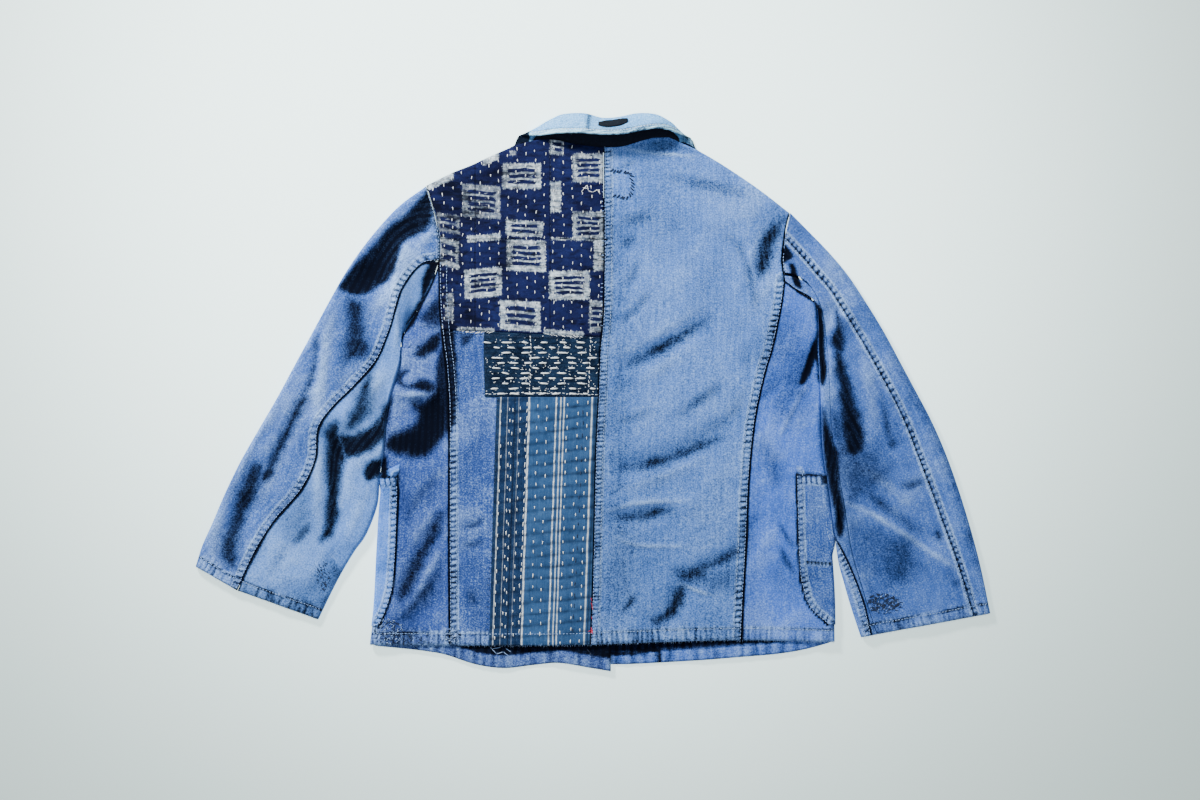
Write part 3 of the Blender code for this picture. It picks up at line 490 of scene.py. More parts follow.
HEADS = {  # the armhole, from the shoulder tip down, for each run of the sleeve
    (-1, "outer"): swapped(BACK_ARMHOLE[-1]),
    (-1, "inner"): swapped(UNDERARM[-1]),
    (-1, "low"): swapped(FRONT_ARMHOLE[-1]),
    (1, "outer"): swapped(BACK_ARMHOLE[1][2:]),
    (1, "inner"): swapped(UNDERARM[1][:-1] + BACK_ARMHOLE[1][:3]),
    (1, "low"): swapped(FRONT_ARMHOLE[1]),
}


def on_line(points, share):
    """A point a share of the way along a run of points."""
    line = np.array(points, dtype=float)
    lengths = run_lengths(line)
    return [np.interp(share * lengths[-1], lengths, line[:, k]) for k in (0, 1)]


def sleeve_points(side, share, place, layer):
    """Points for each share of the way to the cuff, at one place round the sleeve."""
    values, first = row_at(SLEEVES[side], share), SLEEVES[side][0]
    place = np.broadcast_to(place, share.shape)
    kind = "low" if layer == "low" else "outer" if np.max(place) <= 1 else "inner"
    start, end, part = {
        "low": (0, 4, place / 2), "outer": (0, 2, place), "inner": (2, 4, place - 1),
    }[kind]
    head_x, head_y = on_line(HEADS[(side, kind)], part)
    reach = np.maximum(0, 1 - share / HEAD_REACH) ** HEAD_EASE[(side, kind)]
    near = eased((part - 0.6) / 0.4) if kind != "outer" else 0
    head_x = head_x + side * (ARMPIT_ASIDE * near + 3 * SEAM)
    head_y = head_y + ARMPIT_ABOVE[side] * near
    x, y = [
        mix(values[start + k], values[end + k], part)
        + (head - mix(first[start + k], first[end + k], part)) * reach
        for k, head in enumerate((head_x, head_y))
    ]
    if layer == "low":
        joined = 1 - eased(share / HEAD_JOINED)
        z = mix(CLOTH / 2, low_height(side, x, y), joined)
        return np.stack([x, y, z, np.zeros_like(x)], axis=-1)
    plain = values[6] + folds_at(x, y)
    z = mix(top_height(x, y), plain, eased(share / HEAD_BLEND))
    z = np.maximum(z, CLOTH * 1.5 + 1.2)
    return np.stack([x, y, z, np.ones_like(x)], axis=-1)


def sleeve_fold(side, share, where, turns, gap_steps):
    """Columns from the last flat place round a fold, from the upper to the lower layer."""
    edge, inner = (0, 0.12) if where == "outer" else (2, 1.88)
    upper = sleeve_points(side, share, edge, "top")[:, :3]
    lower = sleeve_points(side, share, edge, "low")[:, :3]
    near = sleeve_points(side, share, inner, "top")
    toward = unit((near[:, :3] - upper) * (1, 1, 0))
    high, low = near[:, 2], lower[:, 2]
    half = (high - low) / 2
    columns = []
    for angle in turns:
        turn = math.radians(angle)
        spot = (upper + lower) / 2 + toward * (half * (1 - math.cos(turn)))[:, None]
        spot[:, 2] = low + half + half * math.sin(turn)
        weight = np.full((len(share), 1), max(0, math.sin(turn)))
        columns.append(np.concatenate([spot, weight], axis=1))
    gap = [mix(near, columns[0], k / gap_steps) for k in range(1, gap_steps)]
    return gap + columns


def front_seam(share):
    """Places of the two edges of the right sleeve's front seam, which swings in at the head."""
    swing = 1 - eased(share / 0.5)
    edge = RIGHT_FRONT_SEAM - HEAD_SWING * swing
    return edge - 0.006 - 0.036 * swing, edge


# %% [markdown]
# The collar is a stand and a fall. It lies turned down flat under the fronts, and behind
# the neck it is squeezed up by the back's weight into a standing roll. Each section is a
# straight stand, a small roll and a slightly crowned fall.

# %% Collar
def collar_sheets(steps, stand_steps, fall_steps):
    shares = np.linspace(0, 1, steps)
    values = row_at(COLLAR_SECTIONS, shares)
    neck, roll, edge = [np.stack(values[k : k + 3], axis=-1) for k in (0, 3, 6)]
    turn = np.radians(values[9])
    aside = np.stack([np.cos(turn), np.zeros_like(turn), np.sin(turn)], axis=-1)
    reach = (PLY_OFFSET + SIDE_OFFSET * abs(aside[:, :1]))
    stand_top = roll - aside * reach
    rise = stand_top - neck
    stand_top = stand_top - unit(rise) * 1.5
    stand = np.stack([mix(neck, stand_top, k) for k in np.linspace(0, 1, stand_steps)], axis=0)
    out = unit(rise)
    fall_top = roll + aside * reach
    fall = []
    for angle in (150, 120, 90, 60, 30):
        bend = math.radians(angle)
        fall.append(roll + aside * reach * math.cos(bend) + out * PLY_OFFSET * math.sin(bend))
    crown = FALL_CROWN * np.sin(math.pi * shares) ** 2
    for share in np.linspace(0, 1, fall_steps):
        points = mix(fall_top, edge, share)
        points[:, 2] = points[:, 2] + crown * math.sin(math.pi * share)
        fall.append(points)
    fall = np.stack(fall, axis=0)
    fall[..., 2] = np.maximum(fall[..., 2], COLLAR / 2)
    sheets = []
    for grid in (stand, fall):
        weight = np.full(grid.shape[:2] + (1,), 0)
        sheets.append(np.concatenate([grid, weight], axis=2))
    return sheets

# %% [markdown]
# Worn cloth is never smooth. Its small relief has four parts: creases placed one by one,
# soft random crumple, the raised bands of felled seams and hems, and the puckers that old
# stitching pulls into those bands. All are functions of the place on the jacket, so a patch
# and the panel under it crumple together. Each part also paints colour: paler on ridges,
# partly real wear and partly painted highlight, and darker in troughs, which is painted shade.

# %% Random swells
def mottle(x, y, size, seed):
    """Smooth random values from -1 to 1, with a swell about every size millimetres."""
    lattice = np.random.default_rng(seed).uniform(-1, 1, (128, 128))
    column, row = x / size + 1000, y / size + 1000
    i, j = np.floor(column).astype(int), np.floor(row).astype(int)
    across, up = eased(column - i), eased(row - j)
    near, far = lattice[i % 128, j % 128], lattice[(i + 1) % 128, j % 128]
    near_up = lattice[i % 128, (j + 1) % 128]
    far_up = lattice[(i + 1) % 128, (j + 1) % 128]
    return mix(mix(near, far, across), mix(near_up, far_up, across), up)


def turned(x, y, degrees, stretch):
    """Coordinates turned, and squeezed along the new first axis, for swells in one direction."""
    turn = math.radians(degrees)
    along_it = x * math.cos(turn) + y * math.sin(turn)
    across_it = -x * math.sin(turn) + y * math.cos(turn)
    return along_it / stretch, across_it


# %% Places measured along a drawn line
def curve_through(points, step=4):
    """A smooth run of points through a few drawn ones."""
    rows = [(float(k), *point) for k, point in enumerate(points)]
    drawn = np.array(points, dtype=float)
    length = np.hypot(*np.diff(drawn, axis=0).T).sum()
    at = np.linspace(0, len(points) - 1, max(3, int(length / step)))
    return np.stack([along(rows, at, 1), along(rows, at, 2)], axis=1)


def beside(line, x, y, reach):
    """How far along and beside a line each place lies, beside being positive on its left.
    Only places within reach are looked at; the rest get a large distance."""
    shape = np.broadcast(x, y).shape
    x, y = np.broadcast_to(x, shape).ravel(), np.broadcast_to(y, shape).ravel()
    run, off = np.zeros(x.size), np.full(x.size, 1e6)
    lengths = run_lengths(line)
    for k, (start, end) in enumerate(zip(line, line[1:])):
        low, high = np.minimum(start, end) - reach, np.maximum(start, end) + reach
        near = np.nonzero((x > low[0]) & (x < high[0]) & (y > low[1]) & (y < high[1]))[0]
        if not near.size:
            continue
        way = end - start
        size = max(np.hypot(*way), 1e-6)
        from_x, from_y = x[near] - start[0], y[near] - start[1]
        part = np.clip((from_x * way[0] + from_y * way[1]) / size**2, 0, 1)
        gap = np.hypot(from_x - part * way[0], from_y - part * way[1])
        side = np.where(way[0] * from_y - way[1] * from_x > 0, 1, -1)
        closer = gap < abs(off[near])
        chosen = near[closer]
        off[chosen] = (gap * side)[closer]
        run[chosen] = lengths[k] + part[closer] * size
    return run.reshape(shape), off.reshape(shape)


# %% Creases
CREASES = {  # start x, y, middle x, y, end x, y, half width, height, painted shade (a painted highlight where negative)
    "left sleeve, upper half": """
-224 285 -285 238 -350 140 5 2.6 -0.6; -249 204 -264 168 -266 108 4 2.8 -0.6;
-264 150 -286 124 -300 104 9 1.2 -0.45; -266 124 -263 88 -268 52 4 1.8 -0.35;
-350 118 -364 40 -372 -44 8 2 -0.6; -370 88 -376 26 -404 -30 6 -1.6 0.55;
-354 126 -440 -34 -524 -210 5 0.6 -0.3; -322 52 -330 40 -340 30 3 -0.9 0.3;
-312 44 -326 28 -342 16 3 0.9 -0.3; -220 268 -228 252 -238 236 4 -1.8 0.6;
-213 248 -222 240 -232 222 3.5 1.8 -0.5; -209 236 -216 230 -226 214 3 -1.6 0.7;
-210 218 -220 212 -232 204 6 1.4 -0.4; -240 196 -252 180 -254 150 7 1.4 -0.4""",
    "left sleeve, lower half": """
-281 34 -296 6 -308 -20 8 2.4 -0.5; -370 -60 -371 -110 -371 -180 7 1.8 -0.55;
-264 -66 -292 -80 -326 -98 8 1.6 -0.4; -410 -66 -432 -110 -456 -154 8 1.5 -0.3;
-376 -168 -390 -188 -408 -206 8 -1.8 0.6; -300 -120 -318 -160 -334 -200 7 1.4 -0.35;
-440 -196 -452 -214 -462 -236 6 -1 0.3; -360 -210 -372 -236 -388 -262 8 1.1 -0.3;
-500 -160 -508 -190 -514 -222 6 1 -0.3; -410 -200 -424 -226 -436 -250 7 -0.9 0.25""",
    "left side of the body": """
-240 92 -222 92 -203 87 4 2.2 -0.3; -262 -4 -238 -2 -212 1 4 1.9 -0.4;
-203 -104 -238 -148 -256 -182 9 -1.7 0.45; -204 -204 -222 -244 -252 -300 5 1.6 -0.35;
-210 -150 -226 -176 -250 -212 5 1.3 -0.25; -144 -168 -158 -178 -174 -181 5 -1.1 0.4;
-144 -199 -160 -205 -178 -204 5 -1 0.35; -168 -262 -163 -276 -160 -290 8 -0.8 0.3""",
    "right back": """
30 232 56 234 84 240 11 -1.2 0.4; 30 196 44 201 62 208 9 -1.2 0.45;
44 138 54 158 66 184 7 -1.2 0.35; 30 84 52 108 80 136 7 -1.4 0.45;
98 290 150 280 212 266 9 -0.9 0.35; 174 214 202 190 222 112 7 -1.2 0.4;
232 226 222 200 206 168 8 1.4 -0.3; 31 30 90 60 158 100 9 -1.8 0.7;
34 50 92 82 150 120 9 1.1 -0.3; 34 4 92 34 150 70 9 1 -0.3;
20 -108 96 -90 184 -56 9 -1.7 0.65; 30 -130 96 -112 156 -84 7 1.1 -0.3;
18 -38 48 -36 80 -24 7 -1.1 0.4; 20 -8 40 8 62 28 8 -1.1 0.4;
110 -34 142 -12 174 12 8 -1.1 0.4; 16 -160 62 -148 134 -145 3 1.4 -0.75;
16 -185 55 -204 126 -207 2.6 1.5 -0.8; 20 -168 64 -167 106 -155 8 -1.3 0.6;
24 -190 36 -188 50 -194 5 -0.8 0.4; 113 -254 132 -263 152 -272 2.2 1.3 -0.85;
36 -300 46 -288 60 -272 5 -1.2 0.5; 38 -206 43 -248 50 -284 7 -0.7 0.3;
34 331 76 324 142 319 2.2 1.5 -0.9; 119 -258 140 -266 165 -273 1.8 1 -0.9;
30 302 44 306 60 311 4 -0.9 0.35""",
    "right side of the body": """
232 30 250 60 268 96 10 -1.4 0.3; 290 18 264 -32 250 -60 3.5 1.6 -0.6;
222 -64 240 -90 252 -130 14 -1 0.35; 226 -10 238 4 256 12 8 -1 0.35;
250 -176 260 -192 272 -210 4 -1.2 0.4; 250 -206 262 -228 274 -248 5 -1.3 0.4""",
    "right sleeve and its armhole": """
262 170 276 144 296 126 3.5 1.6 -0.3; 392 74 478 -92 528 -270 9 -0.4 0.35;
362 70 372 10 380 -50 8 1.4 -0.25; 388 2 396 -44 404 -72 5 -1.2 0.4;
396 -66 402 -70 410 -66 6 -1 0.4; 326 -142 384 -168 494 -240 3.2 1.9 -0.75;
344 -95 384 -115 430 -154 6 1.2 -0.35; 356 -124 402 -160 448 -192 8 -1.6 0.45;
412 -126 430 -124 450 -119 7 -1.5 0.5; 462 -184 466 -192 468 -200 6 -1.3 0.6;
486 -250 490 -256 492 -264 6 -0.6 0.3; 352 -190 366 -240 384 -290 8 -0.9 0.25""",
    "shoulder and neck, over the patches": """
-212 274 -190 268 -160 262 9 -1.8 0.8; -204 250 -176 240 -146 248 9 -1.5 0.6;
-196 226 -182 206 -176 160 8 -1.7 0.6; -120 262 -96 250 -70 238 8 -1.2 0.4;
-148 300 -110 296 -70 292 6 -1.2 0.4; -176 120 -160 96 -130 84 9 -1.2 0.35""",
}


def fold_marks(x, y):
    """Height of the creases, and the shade painted along them, a painted highlight where negative.
    """
    height, shade = np.zeros((2, *np.broadcast(x, y).shape))
    creases = [row for rows in CREASES.values() for row in rows_of(rows)]
    for x0, y0, x1, y1, x2, y2, half_width, lift, darkness in creases:
        line = curve_through([(x0, y0), (x1, y1), (x2, y2)], 6)
        run, off = beside(line, x, y, half_width * 2.6)
        near = abs(off) < half_width * 2.6
        if not near.any():
            continue
        length = np.hypot(*np.diff(line, axis=0).T).sum()
        share, gap = run[near] / length, off[near] / half_width
        ends = np.sin(math.pi * np.clip(share, 0.02, 0.98)) ** 0.6
        uneven = 1 + 0.3 * mottle(run[near], off[near] * 0 + x0, 22, 5)
        ripple = 0.16 * mottle(run[near] + x0, off[near], 7, 6)
        cover = ends * uneven * np.exp(-(gap + ripple) ** 2 * 1.1)
        height[near] += lift * cover
        shade[near] += darkness * cover
    return height, shade


# %% [markdown]
# The deepest folds are drawn as closed shapes instead: pockets where the sleeve or the side
# sags under its own fold. Their rims are fairly crisp and their floors are painted nearly
# black: painted shade that stands for the shadow in them.

# %% Hollows
# how dark its painted shade is, how soft its rim, how deep, x and y of a first point, then a step
# to each next one
HOLLOWS = rows_of("""
1.18 4 3.4 -223 273 -28 -31 -23 -19 -24 -28 -23 -24 -20 -23 -1 -9 24 -7 26 8 24 21 6 23 8 19
14 8 14 8 7 12 3 19; 0.8 9 1.8 -331 130 19 -13 5 -26 5 -31 -9 -14 -25 0 5 35; 0.85 8 1.6 -295
36 -1 -33 -8 -31 -17 -17 -10 -3 5 26 10 28; 1.2 6 2.6 -271 -8 -3 -25 -7 -27 -11 -14 -18 -10
-24 -4 -6 16 -1 16 15 -1 18 8 16 11 11 19; 1.15 6 2.4 -353 -43 10 3 1 -16 7 -13 3 -19 -6 -18
-4 -43 -1 -16 -4 -17 -7 -13 -14 -5 7 23 2 57 -3 26 4 20 -3 16; 1.3 4 1.8 -278 -86 1 -27 -12 0
-15 -5 -3 13 10 13; 0.9 7 1.8 -382 -4 -14 -4 -16 -32 -14 -30 -14 -30 -6 -18 10 2 15 32 18 36
15 30; 0.8 8 1.8 -446 -98 -14 2 -16 -36 -14 -38 -13 -36 5 -20 16 -10 4 36 14 40 14 36; 1.4
3.5 2.4 -203 178 -14 -1 -11 -19 -3 -26 -8 -15 -13 -26 -2 -10 14 15 11 26 8 21 8 15; 0.75 6
1.4 -204 143 -6 -11 -10 -12 -16 -19 6 -8 26 -5; 1.1 5 2 -205 84 0 -20 -10 -10 -16 -8 -10 6 10
12 13 13; 1 4 2.6 -247 30 -9 -1 -7 -10 3 -10 20 -5 23 -5 6 12 -17 7 -13 -4 -8 -3 -7 5 1 8;
1.35 7 2.8 -243 -14 15 2 13 14 7 22 8 6 1 -37 2 -41 -11 -21 -19 -16 -23 2 -21 3 -8 12 11 12
22 10 10 14; 0.8 8 2.2 -200 -160 -12 -4 -14 -26 -24 -42 -14 -36 8 -12 16 18 16 38 18 34; 0.5
9 1 -206 -232 -26 -30 -24 -30 -24 -18 18 -2 26 22 24 28; 0.45 8 0.6 -352 -226 21 -22 -21 -37
-23 -39 -11 6 14 34 16 30; 0.3 14 0.6 -352 -226 -32 -24 -56 -12 -30 12 -10 -36 80 -32 30 -2
30 50; 0.29 10 1.2 -200 -120 -26 -4 -24 -18 -6 -18 16 0 24 14; 0.8 7 2.6 258 234 -7 -23 -8
-28 -7 -17 -11 -11 -7 11 3 22 7 23 14 15; 1.3 2.5 2 259 199 9 -10 2 -7 -9 -5 -7 -2 2 13; 1.4
2.5 2.2 265 174 6 0 5 -16 5 -16 -8 2 -6 13; 1.5 3 3 298 124 9 -10 4 -24 2 -35 2 -23 -5 -22 -7
8 0 18 -4 9 -7 -20 -7 -12 -8 0 10 28 11 30 4 13 -2 22; 0.95 5 1.8 328 114 6 -19 4 -17 -2 -21
-12 2 -6 12 7 17; 1.1 7 2.6 328 60 13 -28 11 -35 10 -35 5 -38 -15 -10 -14 10 -4 38 -3 47 -5
23; 1.2 6 0 309 -20 9 -28 12 -34 2 -38 6 -40 -16 10 -10 40 -6 50; 0.58 8 2.2 110 -242 32 12
46 18 2 -10 -30 -18 -10 -12 -24 -4; 0.68 6 2 112 -262 12 0 -2 -22 -12 -18 -22 -11 -8 7 18 14;
0.25 12 0.8 150 -240 40 8 0 -34 -34 -2 -22 10; 0.28 9 1.4 16 -96 44 8 60 22 50 32 36 40 -10
-34 -36 -32 -50 -24 -60 -24; 0.24 3 0.6 38 333 25 7 25 6 13 1 17 -9 28 -16 -36 1 -32 3 -22 4;
0.5 5 1.2 -219 262 19 -8 22 -4 26 -10 10 -16 -24 -2 -24 12 -24 8; 0.36 6 0.8 -200 292 24 -2
26 6 28 4 -4 -12 -34 -8 -30 -4; 0.4 6 0.8 -122 206 10 8 6 -24 -6 -30 -10 -10 -6 26; 0.32 14
0.3 338 -165 37 -13 45 -24 30 -26 -14 -22 -52 -6 -34 16 -12 40; 0.32 12 0.4 -384 -118 12 -32
-8 -42 -30 -8 -12 28 20 42; 0.95 4 0 -206 92 16 0 6 -32 1 -50 -3 -50 -16 -14 -10 44 0 40 6
30; 0.7 3 0.6 -179 79 19 1 -4 -10 -13 -9; 0.5 14 0.6 320 -16 25 -20 40 -44 10 -30 -25 -32 -25
-10 -15 32 -14 60; 1.2 4 0 325 -136 12 -12 2 -28 -4 -16 -7 0 -3 22; 0.3 14 0.5 234 104 42 -6
12 -48 4 -50 -20 -44 -32 20 -14 64; 0.19 16 0 10 236 36 -4 12 -132 -6 -200 10 -150 -52 -20;
0.32 7 1.2 28 -168 32 12 48 2 -8 -12 -30 -6 -26 -8""")


def inside(points, x, y):
    """Whether each place lies inside a closed run of points."""
    within = np.zeros(x.shape, dtype=bool)
    for (x0, y0), (x1, y1) in zip(points, np.roll(points, -1, axis=0)):
        if y0 == y1:
            continue
        crosses = (y0 > y) != (y1 > y)
        within ^= crosses & (x < x0 + (y - y0) * (x1 - x0) / (y1 - y0))
    return within


def hollow_marks(x, y):
    """Depth of the hollows, and the shade painted in them."""
    height, shade = np.zeros((2, *np.broadcast(x, y).shape))
    for darkness, soft, depth, *numbers in HOLLOWS:
        points = np.cumsum(np.reshape(numbers, (-1, 2)), axis=0)
        rim = curve_through([*points, points[0]], 5)[:-1]
        low, high = rim.min(axis=0) - 2 * soft, rim.max(axis=0) + 2 * soft
        near = (x > low[0]) & (x < high[0]) & (y > low[1]) & (y < high[1])
        if not near.any():
            continue
        _, off = beside(np.vstack([rim, rim[:1]]), x[near], y[near], 60)
        depth_in = np.where(inside(rim, x[near], y[near]), abs(off), -abs(off))
        wavy = depth_in + 0.3 * soft * mottle(x[near], y[near], 9, 31)
        rim_cover = eased(0.5 + wavy / (2.6 * soft))
        cover = rim_cover * (0.8 + 0.2 * np.clip(depth_in / max(depth_in.max(), 1), 0, 1))
        height[near] -= depth * eased(0.5 + depth_in / (3 * soft + 6))
        shade[near] = np.maximum(shade[near], darkness * cover)
    return height, shade


# %% Crumple
def crumple_relief(x, y):
    """Soft random waves: longer and calmer on the right back, shorter on sleeves and sides."""
    calm = eased((x - 10) / 30) * eased((215 - x) / 40)
    long_x, long_y = turned(x, y, 62, 2.4)
    waves = 1.1 * mottle(long_x, long_y, 34, 11)
    short_x, short_y = turned(x, y, 40, 1.8)
    ripples = 0.55 * mottle(short_x, short_y, 15, 12) + 0.26 * mottle(x, y, 7.5, 13)
    return waves * (1 - 0.4 * calm) + ripples * (1 - 0.6 * calm)


# %% Seams and hems
def drawn(rows, column=1):
    """A table of heights and x as a run of points, from the bottom up."""
    return [(row[column], row[0]) for row in rows]


ELBOW = {side: [row[2:4] for row in rows] for side, rows in SLEEVES.items()}
CUFF = {
    side: [rows[-1][0:2], rows[-1][2:4], rows[-1][4:6]] for side, rows in SLEEVES.items()
}
SEAMS = {  # line, band from, to, pucker height, length, wear, how strong the painted shadow along its joining line is
    "centre_back": (drawn(CENTRE_BACK), -12, -0.3, 0.42, 5.6, 0.75, 0.95),
    "side_left": (drawn(SIDES[-1], 2), -11.5, -0.2, 0.5, 7.6, 0.8, 0.95),
    "side_right": (drawn(SIDES[1], 2), 0.2, 12, 0.5, 7.6, 0.8, 0.95),
    "armhole_left": (drawn(BACK_ARMHOLE[-1]), -0.4, 3.4, 0.6, 6.5, 0.55, 0),
    "armhole_right": (drawn(BACK_ARMHOLE[1]), -3.2, 0.2, 0.3, 7, 0.8, 0.7),
    "underarm_left": (drawn(UNDERARM[-1])[::-1], -3, 0.6, 0.3, 6, 0.6, 0.9),
    "underarm_right": (drawn(UNDERARM[1]), -3, 0.6, 0.3, 6, 0.7, 0.9),
    "elbow_left": (ELBOW[-1], -11, -0.4, 0.55, 8.2, 0.75, 0.95),
    "elbow_right": (ELBOW[1], -3.4, 6.8, 0.55, 8.5, 0.85, 0.35),
    "inner_right": (
        [(322, -170), (326, -193), (344, -229), (364, -280), (375, -325)],
        -10, -0.3, 0.4, 7, 0.8, 0.95,
    ),
    "back_hem": (list(BACK_HEM), 0.3, 17, 0.6, 6.6, 0.7, 0),
    "cuff_left": (CUFF[-1], 0.4, 15.5, 0.6, 6.6, 0.45, 0),
    "cuff_right": (CUFF[1][::-1], 0.4, 15.5, 0.6, 6.2, 0.5, 0),
    "pocket_left": ([(x, y) for y, x in POCKET_EDGE[-1]], 0.2, 9.6, 0.4, 7.5, 0.8, 0.95),
    "pocket_right": ([(x, y) for y, x in POCKET_EDGE[1]], -9.6, -0.2, 0.4, 7.5, 0.8, 0.95),
    "pocket_top_left": ([(-288, -113), (-262, -113)], -13, -0.2, 0.3, 7, 0.6, 0.8),
    "pocket_top_right": ([(274, -110), (308, -111)], -13, -0.2, 0.3, 7, 0.7, 0.8),
    "pocket_bar_right": ([(289, -227), (322, -229)], -3.5, 0.3, 0.3, 5, 0.7, 0.4),
}
ROPED = ("back_hem", "cuff_left", "cuff_right", "armhole_left")
LINES = {name: curve_through(seam[0]) for name, seam in SEAMS.items()}


def band_relief(run, off, start, end, pucker, length, seed, roped):
    """A felled band's own rise, its stitch grooves and puckers, and how ridged each place is.
    A hem is roped: uneven puckers cross it. A seam's puckers lie between its two rows."""
    middle, half = (start + end) / 2, (end - start) / 2
    gap = abs(off - middle)
    rise = eased((half + 0.9 - gap) / 1.4)
    grooves = bell(half - 1.7 - gap, 0.9)
    if roped:
        lean = run + 0.25 * off
        coarse = mottle(lean, off * 0.1, length * 0.7, seed)
        drift = 2.2 * mottle(run, run * 0, length * 3.1, seed + 2)
        waves = np.clip(0.85 * np.sin(2 * math.pi * run / length + drift) + 1.4 * coarse, -1, 1)
        cover = bell(gap, half + 3.5, 4)
    else:
        drift = 1.6 * mottle(run, run * 0, length * 3.1, seed)
        waves = np.sin(2 * math.pi * run / length + drift * 1.5 + 0.8 * off / max(half, 1))
        waves = np.sign(waves) * abs(waves) ** 0.7
        cover = bell(gap, 0.8 * half + 0.4, 4)
    waves = waves * cover * (0.75 + 0.5 * mottle(run, run * 0 + 40, 31, seed + 1))
    return 0.6 * rise - 0.32 * grooves + pucker * waves, rise, waves, grooves


def seam_relief(x, y, names):
    """Height, wear and dark of the named seams at each place. The dark is painted shade and
    painted shadow.
    """
    height, wear, dark = [np.zeros(np.broadcast(x, y).shape) for _ in range(3)]
    for name in names:
        _, start, end, pucker, length, worn, line = SEAMS[name]
        reach = max(abs(start), abs(end)) + 16
        run, off = beside(LINES[name], x, y, reach)
        near = abs(off) < reach
        if not near.any():
            continue
        seed = 60 + sorted(SEAMS).index(name) * 3
        rise_all, rise, ridge, grooves = band_relief(
            run[near], off[near], start, end, pucker, length, seed, name in ROPED
        )
        height[near] += rise_all
        edge = bell(abs(off[near] - (start + end) / 2) - (end - start) / 2, 1.1)
        pale = worn * (0.15 * rise + 0.6 * edge + 0.5 * np.maximum(ridge, 0))
        wear[near] = np.maximum(wear[near], pale)
        # A painted shadow along the joining line, and painted shade in pucker troughs, in stitch
        # grooves and along a hem's top edge.
        joined = bell(off[near], 1.25)
        trough = 0.36 if name in ROPED else 0.6
        hem_line = bell(off[near] - end + 1.3, 0.9) * (name in ROPED)
        shade = trough * np.maximum(-ridge, 0) + 0.22 * grooves * rise + line * joined
        shade += 0.5 * hem_line
        dark[near] = np.maximum(dark[near], shade)
        wear[near] = wear[near] * (1 - line * joined)
    return height, wear, dark

# %% [markdown]
# One helper makes every cloth piece. It takes grids of points, adds the small relief, joins
# grids that share an edge, and gives the sheet its wall. Two attributes travel with the
# mesh: `cloth` holds each point's place on the flat cloth, for the weave, and `marks` says
# how worn and how dark the place is, with painted highlights and painted shade among them.

# %% Cloth helpers
FINE = 2.4  # between neighbouring points where the cloth shows
WELD = 0.00002  # metres within which the shared edges of two grids become one
# How strongly the marks take each part: a painted highlight and painted shade along creases, paler
# crumple crests, and painted shade in crumple troughs and in hollows, where it also hides the
# wear.
CREASE_HIGHLIGHT, CRUMPLE_WEAR, SHADE_HIDES_WEAR = 0.6, 0.16, 0.8
CREASE_SHADE, CRUMPLE_SHADE, LOWER_DARK = 0.8, 0.14, 0.12


def dressed(grid, names, distance=0, extra=None):
    """A grid with its relief, moved out from it by a distance, and its marks."""
    x, y, weight = grid[..., 0], grid[..., 1], grid[..., 3]
    seam, wear, dark = seam_relief(x, y, names)
    (creases, shade), (hollows, painted_shade) = fold_marks(x, y), hollow_marks(x, y)
    crumple = crumple_relief(x, y)
    lift = (seam + creases + hollows + crumple) * weight
    points = grid[..., :3].copy()
    points[..., 2] += lift
    if distance:
        normal = unit(normals_of(points))
        up = np.sign((normal[..., 2] * (weight > 0.9)).sum() or 1)
        points = points + normal * up * distance
    if extra is not None:
        points[..., 2] += extra * weight
    # Painted highlights along crease ridges, and painted shade in creases, hollows and crumple
    # troughs; the right back is also made darker towards the bottom.
    wear = wear + CREASE_HIGHLIGHT * np.maximum(-shade, 0) + CRUMPLE_WEAR * np.maximum(crumple, 0)
    dark = dark + CREASE_SHADE * np.maximum(np.clip(shade, 0, 1.1), painted_shade)
    dark = dark + CRUMPLE_SHADE * np.maximum(-crumple, 0)
    right_back = eased((x + 10) / 20) * eased((240 - x) / 30)
    dark = dark + LOWER_DARK * eased((190 - y) / 520) * right_back
    wear = wear * (1 - SHADE_HIDES_WEAR * np.clip(painted_shade, 0, 1))
    points[..., 2] = np.maximum(points[..., 2], CLOTH / 2)
    return points, np.stack([wear * weight, dark * weight, lift], axis=-1)


def lengths_of(grid, axis):
    """How far each point lies along the cloth from the first, by row or by column."""
    steps = np.linalg.norm(np.diff(grid[..., :3], axis=axis), axis=2)
    zero = np.zeros_like(np.take(steps, [0], axis=axis))
    return np.concatenate([zero, np.cumsum(steps, axis=axis)], axis=axis)


def meshed(name, sheet, material=None):
    """An object from a finished bmesh, shaded smooth."""
    mesh = bpy.data.meshes.new(name)
    sheet.to_mesh(mesh)
    sheet.free()
    mesh.shade_smooth()
    if material:
        mesh.materials.append(material)
    return standing(name, mesh)


def add_grid(sheet, placed, marked, plain, points, marks):
    """Adds a grid to a sheet. Each point keeps its place on the flat cloth, and its marks."""
    down, across = points.shape[:2]
    before = len(sheet.verts)
    bmesh.ops.create_grid(sheet, x_segments=across - 1, y_segments=down - 1, size=1)
    sheet.verts.ensure_lookup_table()
    flat = [lengths_of(plain, 1), lengths_of(plain, 0), np.zeros(plain.shape[:2])]
    columns = (points * MM, np.stack(flat, axis=-1) * MM, marks)
    rows = zip(*(column.reshape(-1, 3).tolist() for column in columns))
    for vert, (spot, place, mark) in zip(sheet.verts[before:], rows):
        vert.co, vert[placed], vert[marked] = spot, place, mark


pieces = {}


